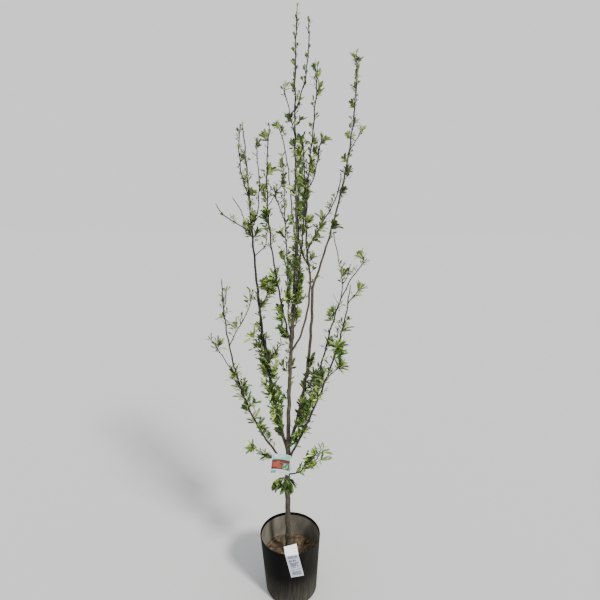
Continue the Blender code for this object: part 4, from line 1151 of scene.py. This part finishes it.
    def blades(self, roots: np.ndarray, pointing: np.ndarray, facing: np.ndarray, size: np.ndarray) -> np.ndarray:
        """The blades of several leaves, each a function of u from its foot to its tip and v from side to side.

        The half width is a stalk of 2% of the length up to u = 0.12. Of the rest of u it is the power 0.9 times
        what remains to the power 0.6, so it is widest at three fifths and blunt at the tip. The blade folds up from its midrib by a share of v,
        bends back by the square of u, and its edge waves by a sine of u.

        Args:
            roots: leaves by 3.
            pointing: the way each leaf runs.
            facing: the way its upper side looks.
            size: each leaf's length.

        Returns:
            Leaves by rows by columns by 3.
        """
        count = len(roots)
        u, v = np.linspace(0, 1, self.rows)[None, :, None], np.linspace(-1, 1, 5)[None, None, :]
        blade = np.clip((u - 0.12) / 0.88, 0, 1)
        width = (self.usual(roots[0, 2], 2) * self.rule.uniform(0.8, 1.2, count))[:, None, None]
        half = np.maximum(2.75 * blade**0.9 * (1 - blade) ** 0.6 * width / 2, 0.018 * (1 - 0.75 * u))
        fold = self.rule.uniform(0.15, 0.55, count)[:, None, None]
        bend = self.rule.uniform(-0.02, 0.30, count)[:, None, None]
        phase = self.rule.uniform(0, math.tau, count)[:, None, None]
        wave = 0.035 * np.sin(u * 9 + phase + v * 1.2) * np.abs(v) * blade
        sideways = half * v * np.cos(fold)
        raised = half * np.abs(v) * np.sin(fold) - bend * u**2 + wave
        onwards = u - 0.5 * bend**2 * u**3
        across = unit(np.cross(pointing, facing))
        lift = unit(np.cross(across, pointing))
        scale = size[:, None, None, None]
        return (
            roots[:, None, None]
            + scale * onwards[..., None] * pointing[:, None, None]
            + scale * sideways[..., None] * across[:, None, None]
            + scale * raised[..., None] * lift[:, None, None]
        )

    def dress(self, bark: bpy.types.Material, greens: list[bpy.types.Material]) -> None:
        """Makes the two joined pieces, wood and leaves, which stand for the mass's node."""
        short = self.name.replace("foliage_", "")
        wood = self.wood.build("twigs_" + short, [bark])
        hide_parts(self.name)
        if self.leaf_count:
            leaves = self.leaves.build("leaves_" + short, greens)
            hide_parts(self.name)
        LOG.info("%s: %d leaves", self.name, self.leaf_count)


@dataclass
class Trunk:
    """The trunk, its leader and the boughs, with the bark's relief in their meshes.

    Attributes:
        skeleton: the limbs.
        sides: how many points a ring of the trunk has.
        lobes: how many roots swell at its foot, and by how much.
        relief: the depth of the bark's unevenness as a share of the radius.
    """

    skeleton: Skeleton
    sides: int = 40
    lobes: tuple[int, float] = (4, 0.16)
    relief: float = 0.045

    def limb(self, limb: Limb, end: int | None, sides: int) -> tuple[np.ndarray, np.ndarray, int, np.ndarray]:
        """One limb's skin: its radius times one plus the bark's ripple, with rings every quarter of a step.

        Args:
            limb: the limb.
            end: the index after its last point, or None.
            sides: how many points a ring has.

        Returns:
            Its line, its radii all round, its sides, and how young its bark is.
        """
        line, radii = self.skeleton.lines[limb.name][:end], self.skeleton.radii[limb.name][:end]
        along = lengths(line)
        finer = np.linspace(0, along[-1], max(8, int(along[-1] / 0.0025)))
        line = np.stack([np.interp(finer, along, line[:, axis]) for axis in range(3)], axis=1)
        radii = np.interp(finer, along, radii)
        turns = np.arange(sides) * math.tau / sides
        rounds = np.stack((np.cos(turns), np.sin(turns)), axis=1) * 0.010
        places = np.concatenate((
            np.broadcast_to(rounds[None], (len(finer), sides, 2)),
            np.broadcast_to(finer[:, None, None], (len(finer), sides, 1)),
        ), axis=2)
        bark = 1 + self.relief * (0.6 * ripple(places, 0.020, 5) + 0.4 * ripple(places * (1, 1, 2.4), 0.006, 6))
        if limb is LEADER:
            swell = self.lobes[1] * np.exp(-finer / self.skeleton.flare[1])[:, None]
            bark = bark * (1 + swell * np.cos(self.lobes[0] * turns + 0.6)[None])
        return line, radii[:, None] * bark, sides, self.skeleton.youth(limb, line)

    def dress(self, bark: bpy.types.Material) -> None:
        """Makes the trunk and each bough, which stand for their nodes."""
        mesh = Mesh()
        mesh.add_wood(*self.limb(LEADER, None, self.sides))
        made = mesh.build("trunk_bark_skin", [bark])
        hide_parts("trunk")
        for bough in BOUGHS:
            line = self.skeleton.lines[bough.name]
            mesh = Mesh()
            mesh.add_wood(*self.limb(bough, self.skeleton.at_height(line, bough.bare_to) + 1, 20))
            made = mesh.build(f"bough_{bough.name}_skin", [bark])
            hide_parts("bough_" + bough.name)
        LOG.info("trunk and %d boughs", len(BOUGHS))


# ---- The pot and what is in and on it


@dataclass
class Pot:
    """The nursery pot: a thin tub with a rounded foot, whose rim sits a little to the left of its base.

    Attributes:
        height: its height.
        rim: its radius at the rim.
        base: the radius its straight wall has at the ground.
        wall: its wall's thickness.
        floor: its bottom's thickness.
        foot: the radius of the rounded foot.
        shift: how far the rim sits along X from the base.
        sides: how many points a ring has.
    """

    height: float = 0.267
    rim: float = 0.128
    base: float = 0.109
    wall: float = 0.0035
    floor: float = 0.004
    foot: float = 0.015
    shift: float = -0.009
    sides: int = 128

    def radius(self, height: np.ndarray | float) -> np.ndarray | float:
        """The outer radius of the straight wall at a height."""
        return self.base + (self.rim - self.base) * height / self.height

    def turned(self, profile: np.ndarray) -> np.ndarray:
        """A profile of (radius, height) turned round the pot's own leaning axis: rings by sides by 3."""
        turns = np.arange(self.sides) * math.tau / self.sides
        x = profile[:, :1] * np.cos(turns) + self.shift * profile[:, 1:] / self.height
        y = profile[:, :1] * np.sin(turns)
        return np.stack((x, y, np.broadcast_to(profile[:, 1:], x.shape)), axis=2)

    def rounded(self, inset: float, bottom: float) -> np.ndarray:
        """The (radius, height) points of the rounded foot, for a wall this far in from the outside."""
        turn = np.linspace(0, math.pi / 2, 9)
        radius = self.foot - inset
        centre = self.radius(self.foot) - self.foot
        return np.stack((centre + radius * np.sin(turn), bottom + radius * (1 - np.cos(turn))), axis=1)

    def dress(self) -> None:
        """Makes the pot, which stands for its node."""
        heights = np.linspace(self.foot + 0.01, self.height - 0.012, 24)
        outside = np.stack((self.radius(heights), heights), axis=1)
        inside = np.stack((self.radius(heights[::-1]) - self.wall, heights[::-1]), axis=1)
        turn = np.linspace(0, math.pi, 9)
        lip = self.wall / 2
        brim = np.stack((self.rim - lip + lip * np.cos(turn), self.height - lip + lip * np.sin(turn)), axis=1)
        profile = np.concatenate((
            [(0.0005, 0.0)], self.rounded(0, 0), outside, brim, inside,
            self.rounded(self.wall, self.floor)[::-1], [(0.0005, self.floor)]))
        points = self.turned(profile)
        mesh = Mesh()
        faces = grid_faces(len(profile), self.sides, True)[:, ::-1]
        inner = len(profile) - len(inside) - 10
        mesh.add(points, [faces], (np.arange(len(faces)) // self.sides >= inner).astype(int))
        made = mesh.build("pot_tub", [POT_PLASTIC.build(), POT_INSIDE.build()])
        close_poles(made)
        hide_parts("pot")
        LOG.info("pot")


def close_poles(made: bpy.types.Object) -> None:
    """Fills the holes left at the poles with faces and turns all faces outwards."""
    work = bmesh.new()
    work.from_mesh(made.data)
    bmesh.ops.holes_fill(work, edges=[edge for edge in work.edges if edge.is_boundary], sides=0)
    bmesh.ops.recalc_face_normals(work, faces=work.faces)
    work.to_mesh(made.data)
    work.free()


@dataclass
class Soil:
    """The potting mix: a lumpy top inside the pot, with crumbs and bark chips on it.

    Attributes:
        pot: the pot.
        top: the height of its top at the trunk.
        drop: how far its low places lie under that.
        chips: how many bark chips lie on it.
        crumbs: how many small crumbs lie on it.
    """

    pot: Pot
    top: float = 0.1675
    drop: float = 0.006
    chips: int = 170
    crumbs: int = 900

    def level(self, x: np.ndarray, y: np.ndarray) -> np.ndarray:
        """The height of the soil's surface: broad lumps and fine ones under the top, none close to the trunk."""
        places = np.stack((x, y, np.zeros_like(x)), axis=-1)
        lumps = 0.55 + 0.35 * ripple(places, 0.05, 11) + 0.25 * ripple(places, 0.014, 12)
        near = np.clip((np.hypot(x - Skeleton.foot[0], y) - 0.020) / 0.03, 0, 1)
        return self.top - 0.0003 - self.drop * np.clip(lumps, 0, 1) * near

    def dress(self) -> None:
        """Makes the soil's body with its crumbs, and the chips, which together stand for its node."""
        pot = self.pot
        shares = np.linspace(0, 1, 44)[:, None]
        turns = (np.arange(pot.sides) * math.tau / pot.sides)[None]
        edge = pot.radius(self.top - self.drop) - pot.wall - 0.0004
        middle = pot.shift * self.top / pot.height
        x = middle + (0.0006 + (edge - 0.0006) * shares) * np.cos(turns)
        y = (0.0006 + (edge - 0.0006) * shares) * np.sin(turns)
        surface = np.stack((x, y, self.level(x, y)), axis=2)
        under = np.stack((x[::-1][::43], y[::-1][::43], np.full_like(x[::43], 0.10)), axis=2)
        under[..., 0] += pot.shift * (0.10 - self.top) / pot.height
        under[0, :, :2] *= 0.95
        points = np.concatenate((surface, under))
        mesh = Mesh()
        mesh.add(points, [grid_faces(len(points), pot.sides, True)])
        rule = np.random.default_rng(SEED + 7)
        self.scatter(mesh, rule, self.crumbs, (0.0010, 0.0030), (0.7, 1.0), edge, middle)
        made = mesh.build("soil_bed", [SOIL_CRUMB.build()])
        close_poles(made)
        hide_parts("soil")
        chips = Mesh()
        self.scatter(chips, rule, self.chips, (0.0035, 0.0095), (0.25, 0.6), edge, middle)
        made = chips.build("soil_chips", [SOIL_CHIP.build()], smooth=False)
        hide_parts("soil")
        LOG.info("soil with %d chips and %d crumbs", self.chips, self.crumbs)

    def scatter(self, mesh: Mesh, rule: np.random.Generator, count: int, size: tuple[float, float],
                flat: tuple[float, float], edge: float, middle: float) -> None:
        """Many small angular lumps on the surface: each a cube's corners stretched, jogged and turned at random.

        Args:
            mesh: where they go.
            rule: the rule of chance.
            count: how many.
            size: smallest and largest length.
            flat: least and most thickness, as a share of the length.
            edge: the radius that they stay inside.
            middle: the X of the surface's centre.
        """
        corners = np.array([(a, b, c) for c in (-1, 1) for a, b in ((-1, -1), (1, -1), (1, 1), (-1, 1))]) / 2
        faces = np.array(((3, 2, 1, 0), (4, 5, 6, 7), (0, 1, 5, 4), (1, 2, 6, 5), (2, 3, 7, 6), (3, 0, 4, 7)))
        reach = rule.uniform(0.015, 1, count) ** 0.6 * (edge - size[1])
        turn = rule.uniform(0, math.tau, count)
        x, y = middle + reach * np.cos(turn), reach * np.sin(turn)
        length = rule.uniform(*size, count)
        stretch = np.stack((length, length * rule.uniform(0.35, 0.8, count), length * rule.uniform(*flat, count)), 1)
        shape = corners[None] * stretch[:, None] * (1 + rule.uniform(-0.3, 0.3, (count, 8, 3)))
        tilt, spin = rule.uniform(-0.5, 0.5, (2, count)), rule.uniform(0, math.tau, count)
        a, b, c = (shape[..., axis] for axis in range(3))
        a, c = a * np.cos(tilt[0])[:, None] - c * np.sin(tilt[0])[:, None], \
            a * np.sin(tilt[0])[:, None] + c * np.cos(tilt[0])[:, None]
        a, b = a * np.cos(spin)[:, None] - b * np.sin(spin)[:, None], \
            a * np.sin(spin)[:, None] + b * np.cos(spin)[:, None]
        rest = np.minimum(self.level(x, y) + stretch[:, 2] * 0.25, self.top + 0.004)
        points = np.stack((a + x[:, None], b + y[:, None], c + rest[:, None]), axis=2)
        many = (faces[None] + (np.arange(count) * 8)[:, None, None]).reshape(-1, 4)
        mesh.add(points, [many])


@dataclass
class Sheet:
    """A thin printed sheet on a surface given by a function of u and v, each from 0 to 1.

    Attributes:
        name: the piece's name.
        node: the node that it stands for.
        slot: the record's material slot; not used.
        thick: its thickness.
    """

    name: str
    node: str
    slot: str
    thick: float = 0.0007

    def place(self, u: np.ndarray, v: np.ndarray) -> np.ndarray:
        """The points of the sheet's back at u and v."""
        raise NotImplementedError

    def outward(self, u: np.ndarray, v: np.ndarray) -> np.ndarray:
        """The way the sheet looks at u and v: the cross product of its two slopes."""
        step = 1e-3
        along = self.place(u + step, v) - self.place(u - step, v)
        up = self.place(u, v + step) - self.place(u, v - step)
        return unit(np.cross(along, up))

    def slab(self, mesh: Mesh, u: np.ndarray, v: np.ndarray, low: float, high: float, slot: int) -> None:
        """A closed slab over a grid of u and v, from a low to a high distance off the sheet's back."""
        back, out = self.place(u, v), self.outward(u, v)
        rows, columns = u.shape
        points = np.stack((back + out * low, back + out * high))
        face = grid_faces(rows, columns, False)
        shift = rows * columns
        ring = np.concatenate((
            np.arange(columns), np.arange(1, rows) * columns + columns - 1,
            (rows - 1) * columns + np.arange(columns - 2, -1, -1), np.arange(rows - 2, 0, -1) * columns))
        after = np.roll(ring, -1)
        sides = np.stack((ring, after, after + shift, ring + shift), axis=1)
        mesh.add(points, [face[:, ::-1], face + shift, sides], slot)

    def patch(self, mesh: Mesh, u: tuple[float, float], v: tuple[float, float], slot: int, steps: int = 10,
              layer: int = 1) -> None:
        """A printed rectangle between two values of u and two of v."""
        grid_u, grid_v = np.meshgrid(np.linspace(*u, steps), np.linspace(*v, steps))
        self.slab(mesh, grid_u, grid_v, self.thick, self.thick + 0.00006 * layer, slot)

    def disc(self, mesh: Mesh, centre: tuple[float, float], size: tuple[float, float], slot: int,
             turn: float = 0.0, layer: int = 1, power: float = 1.0) -> None:
        """A printed oval: rings of cosine and sine about its centre, pointed at both ends where the power is over 1."""
        ring, share = np.meshgrid(np.linspace(0, math.tau, 33), np.linspace(0.02, 1, 5))
        a = np.cos(ring) * share
        b = np.sign(np.sin(ring)) * np.abs(np.sin(ring)) ** power * share
        a, b = a * size[0], b * size[1]
        grid_u = centre[0] + a * math.cos(turn) - b * math.sin(turn)
        grid_v = centre[1] + a * math.sin(turn) + b * math.cos(turn)
        self.slab(mesh, grid_u[:, ::-1], grid_v[:, ::-1], self.thick, self.thick + 0.00006 * layer, slot)


@dataclass
class Tag(Sheet):
    """The white label: it hangs askew down the outside of the pot, folds over the rim and stands inwards."""

    width: float = 0.052
    hang: float = 0.108
    stand: float = 0.036
    skew: float = math.radians(13)
    lean: float = math.radians(45)
    rim_x: float = 0.001
    pot: Pot = field(default_factory=Pot)

    def place(self, u: np.ndarray, v: np.ndarray) -> np.ndarray:
        """v runs from the hanging end up over the rim to the standing end, and u across, both turned by the skew."""
        pot = self.pot
        slope = (pot.rim - pot.base) / pot.height
        down = unit(np.array((0, slope, -1.0)))
        inwards = np.array((0, math.cos(self.lean), math.sin(self.lean)))
        side = (u - 0.5) * self.width
        run = self.hang - v * (self.hang + self.stand)
        across = side * math.cos(self.skew) + run * math.sin(self.skew)
        below = run * math.cos(self.skew) - side * math.sin(self.skew)
        soft = 0.0015
        hung = np.where(below > soft, below, np.where(below < -soft, 0, (below + soft) ** 2 / (4 * soft)))
        stood = hung - below
        rim = np.array((self.rim_x, -pot.rim - 0.0004, pot.height + 0.0004))
        points = rim + hung[..., None] * down + stood[..., None] * inwards
        points[..., 0] += across
        return points

    def dress(self) -> None:
        """Makes the label with its plain printed bars, and a grey-blue layer of painted shade over its hanging part."""
        mesh = Mesh()
        u, v = np.meshgrid(np.linspace(0, 1, 9), np.linspace(0, 1, 60))
        self.slab(mesh, u, v, 0, self.thick, 0)
        # Painted shade: the grey-blue layer over the whole hanging part, up to the rim.
        self.patch(mesh, (0.01, 0.99), (0.008, 0.752), 2, 40)
        lines = ((0.12, 0.88, 0.705), (0.12, 0.60, 0.675), (0.66, 0.90, 0.675), (0.12, 0.82, 0.640),
                 (0.14, 0.52, 0.480), (0.58, 0.86, 0.480), (0.14, 0.84, 0.450), (0.14, 0.66, 0.420),
                 (0.24, 0.80, 0.390), (0.14, 0.58, 0.360), (0.66, 0.86, 0.345), (0.20, 0.56, 0.315),
                 (0.16, 0.46, 0.235), (0.56, 0.88, 0.245))
        for left, right, low in lines:
            self.patch(mesh, (left, right), (low, low + 0.019), 1, 6, 2)
        for left, right in ((0.14, 0.24), (0.27, 0.36), (0.46, 0.56), (0.60, 0.68)):
            self.patch(mesh, (left, right), (0.530, 0.592), 1, 6, 2)
        for number in range(15):
            left = 0.14 + number * 0.048
            self.patch(mesh, (left, left + 0.020 + 0.014 * (number * 7 % 3) / 2), (0.06, 0.19), 1, 6, 2)
        made = mesh.build(self.name, [TAG_PAPER.build(), TAG_INK.build(), TAG_PAINTED_SHADE.build()], False)
        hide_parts(self.node)
        LOG.info("pot label")


@dataclass
class Card(Sheet):
    """The picture card in front of the trunk: bent round an upright axis and hanging a little tilted."""

    width: float = 0.078
    height: float = 0.088
    centre: tuple[float, float, float] = (-0.051, -0.0235, 0.606)
    bend: float = 0.110
    tilt: float = math.radians(-6)

    def place(self, u: np.ndarray, v: np.ndarray) -> np.ndarray:
        """u runs round the bend by the arc's sine and cosine, and v straight up, both turned by the tilt."""
        turn = (u - 0.5) * self.width / self.bend
        across, up = self.bend * np.sin(turn), (v - 0.5) * self.height
        x = across * math.cos(self.tilt) - up * math.sin(self.tilt)
        z = across * math.sin(self.tilt) + up * math.cos(self.tilt)
        return np.array(self.centre) + np.stack((x, self.bend * (np.cos(turn) - 1), z), axis=-1)

    def dress(self) -> None:
        """Makes the card with its plain printed shapes."""
        inks = [CARD_PAPER] + [paper("card_" + name, colour) for name, colour in (
            ("mint", (0.22, 0.60, 0.50)), ("brown", (0.115, 0.030, 0.020)), ("red", (0.34, 0.075, 0.045)),
            ("green", (0.085, 0.14, 0.060)), ("teal", (0.10, 0.36, 0.40)), ("grey", (0.40, 0.44, 0.48)))]
        mesh = Mesh()
        u, v = np.meshgrid(np.linspace(0, 1, 25), np.linspace(0, 1, 13))
        self.slab(mesh, u, v, 0, self.thick, 0)
        for across, up, ink in (((0.02, 0.98), (0.74, 0.98), 1), ((0.02, 0.98), (0.56, 0.735), 2),
                                ((0.02, 0.62), (0.22, 0.555), 2), ((0.625, 0.98), (0.22, 0.555), 4),
                                ((0.02, 0.30), (0.02, 0.17), 5)):
            self.patch(mesh, across, up, ink, 24)
        for centre, size in (((0.20, 0.43), (0.13, 0.11)), ((0.44, 0.37), (0.14, 0.12)), ((0.36, 0.57), (0.11, 0.095))):
            self.disc(mesh, centre, size, 3, layer=2)
        for centre, turn in (((0.72, 0.47), 0.9), ((0.86, 0.40), 1.4), ((0.74, 0.30), 0.3)):
            self.disc(mesh, centre, (0.10, 0.035), 1, turn, layer=3, power=1.5)
        for left, right, level in ((0.36, 0.90, 0.12), (0.36, 0.72, 0.06)):
            self.patch(mesh, (left, right), (level, level + 0.022), 6, 8, layer=2)
        for left, right, level in ((0.12, 0.70, 0.89), (0.12, 0.50, 0.81)):
            self.patch(mesh, (left, right), (level, level + 0.035), 0, 8, layer=2)
        made = mesh.build(self.name, [ink.build() for ink in inks], False)
        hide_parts(self.node)
        LOG.info("picture card")


@dataclass
class Strap:
    """The strap round the trunk that holds the card: a flat band whose ring reaches to the card's back."""

    skeleton: Skeleton
    card: Card
    height: float = 0.566
    tall: float = 0.007
    thick: float = 0.0009

    def dress(self) -> None:
        """Makes the strap: an oval round the trunk behind, deeper in front, times a rounded band's profile."""
        line, radii = self.skeleton.lines["leader"], self.skeleton.radii["leader"]
        k = self.skeleton.at_height(line, self.height)
        x, y, height = line[k]
        inner = radii[self.skeleton.at_height(line, self.height - self.tall)] + 0.0009
        turns = np.arange(64) * math.tau / 64
        card = self.card
        edge = (x + inner * np.cos(turns) - card.centre[0]) * math.cos(card.tilt)
        edge += (height - self.tall / 2 - card.centre[2]) * math.sin(card.tilt)
        back = card.centre[1] - card.bend + np.sqrt(card.bend**2 - edge**2) + 0.0006
        front = np.min((back / np.minimum(np.sin(turns), -0.1))[np.sin(turns) < -0.1])
        band = np.linspace(0, math.tau, 16, endpoint=False)
        off = self.thick / 2 * np.sign(np.cos(band)) * np.abs(np.cos(band)) ** 0.5
        up = self.tall / 2 * np.sign(np.sin(band)) * np.abs(np.sin(band)) ** 0.5
        wide = inner + off[None, :] + 0 * turns[:, None]
        deep = np.where(np.sin(turns)[:, None] > 0, wide, front - self.thick / 2 + off[None, :])
        points = np.stack((
            x + wide * np.cos(turns)[:, None],
            deep * np.sin(turns)[:, None],
            height + up[None, :] + 0 * wide), axis=2)
        rows = grid_faces(64 + 1, 16, True) % (64 * 16)
        mesh = Mesh()
        mesh.add(points, [rows[:, ::-1]])
        made = mesh.build("label_strap", [STRAP.build()])
        close_poles(made)
        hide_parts("label_loop")
        LOG.info("strap")


# ---- The stage


@dataclass
class Stage:
    """The pale floor, the soft studio light and the camera at the photograph's viewing angle.

    Attributes:
        eye: the camera's place.
        pitch: how far it looks down, in radians.
        roll: how far it is turned about its own axis, in radians.
        focal: its focal length in pixels of a picture 600 wide.
    """

    eye: tuple[float, float, float] = (0.018, -1.62, 1.617)
    pitch: float = math.radians(11.6)
    roll: float = math.radians(0.86)
    focal: float = 433.0

    def camera(self) -> None:
        """Makes the camera from its three axes: right, up, and back, the last two turned by pitch and roll."""
        lifted = Vector((0, math.sin(self.pitch), math.cos(self.pitch)))
        level = Vector((1, 0, 0))
        right = math.cos(self.roll) * level + math.sin(self.roll) * lifted
        up = -math.sin(self.roll) * level + math.cos(self.roll) * lifted
        back = -Vector((0, math.cos(self.pitch), -math.sin(self.pitch)))
        data = bpy.data.cameras.new("camera")
        data.sensor_width = 36.0
        data.lens = self.focal * data.sensor_width / 600
        data.clip_start, data.clip_end = 0.05, 100
        made = bpy.data.objects.new("camera", data)
        bpy.context.scene.collection.objects.link(made)
        turned = Matrix((right, up, back)).transposed().to_4x4()
        turned.translation = self.eye
        made.matrix_world = turned
        bpy.context.scene.camera = made

    def light(self, name: str, towards: tuple[float, float, float], strength: float, spread: float,
              colour: tuple[float, float, float]) -> None:
        """A soft lamp far away.

        Args:
            name: its name.
            towards: the way from the plant to the lamp.
            strength: its strength in watts on each square metre.
            spread: how wide it looks from the plant, in degrees, which softens its shadows.
            colour: its colour.
        """
        data = bpy.data.lights.new(name, "SUN")
        data.energy, data.angle, data.color = strength, math.radians(spread), colour
        made = bpy.data.objects.new(name, data)
        bpy.context.scene.collection.objects.link(made)
        made.rotation_euler = Vector(towards).to_track_quat("Z", "Y").to_euler()

    def build(self) -> None:
        """Makes the floor, the lights, the world and the camera."""
        mesh = bpy.data.meshes.new("floor")
        far = 30.0
        mesh.from_pydata([(-far, -far, 0), (far, -far, 0), (far, far, 0), (-far, far, 0)], [], [(0, 1, 2, 3)])
        mesh.materials.append(new_material("floor_pale", (0.517, 0.518, 0.521), 1.0))
        floor = bpy.data.objects.new("floor", mesh)
        bpy.context.scene.collection.objects.link(floor)
        world = bpy.data.worlds.new("studio")
        world.use_nodes = True
        world.node_tree.nodes["Background"].inputs["Color"].default_value = (0.94, 0.95, 0.965, 1)
        world.node_tree.nodes["Background"].inputs["Strength"].default_value = 1.1
        bpy.context.scene.world = world
        self.light("key", (0.55, -0.62, 0.80), 4.5, 9, (1.0, 0.97, 0.91))
        self.camera()


def main() -> None:
    """Builds every piece in order."""
    skeleton = Skeleton()
    skeleton.grow()
    card = Card("picture_card", "label_card", "card_print")
    u, v = np.meshgrid(np.linspace(0, 1, 17), np.linspace(0, 1, 17))
    skeleton.keep_clear("label_card", card.place(u, v).reshape(-1, 3), 0.004)
    Stage().build()
    pot = Pot()
    pot.dress()
    Soil(pot).dress()
    Trunk(skeleton).dress(TRUNK_BARK.build())
    whip_bark, greens = WHIP_BARK.build(), leaf_materials()
    leaves = 0
    for number, limb in enumerate(BOUGHS + STEMS):
        if limb.bare_to > limb.tip[2]:
            continue
        mass = Foliage("foliage_" + limb.name, limb, skeleton, SEED + 100 + number)
        mass.grow()
        mass.dress(whip_bark, greens)
        leaves += mass.leaf_count
    LOG.info("%d leaves in all", leaves)
    Tag("pot_label", "tag", "label_white").dress()
    card.dress()
    Strap(skeleton, card).dress()


if __name__ == "__main__":
    main()
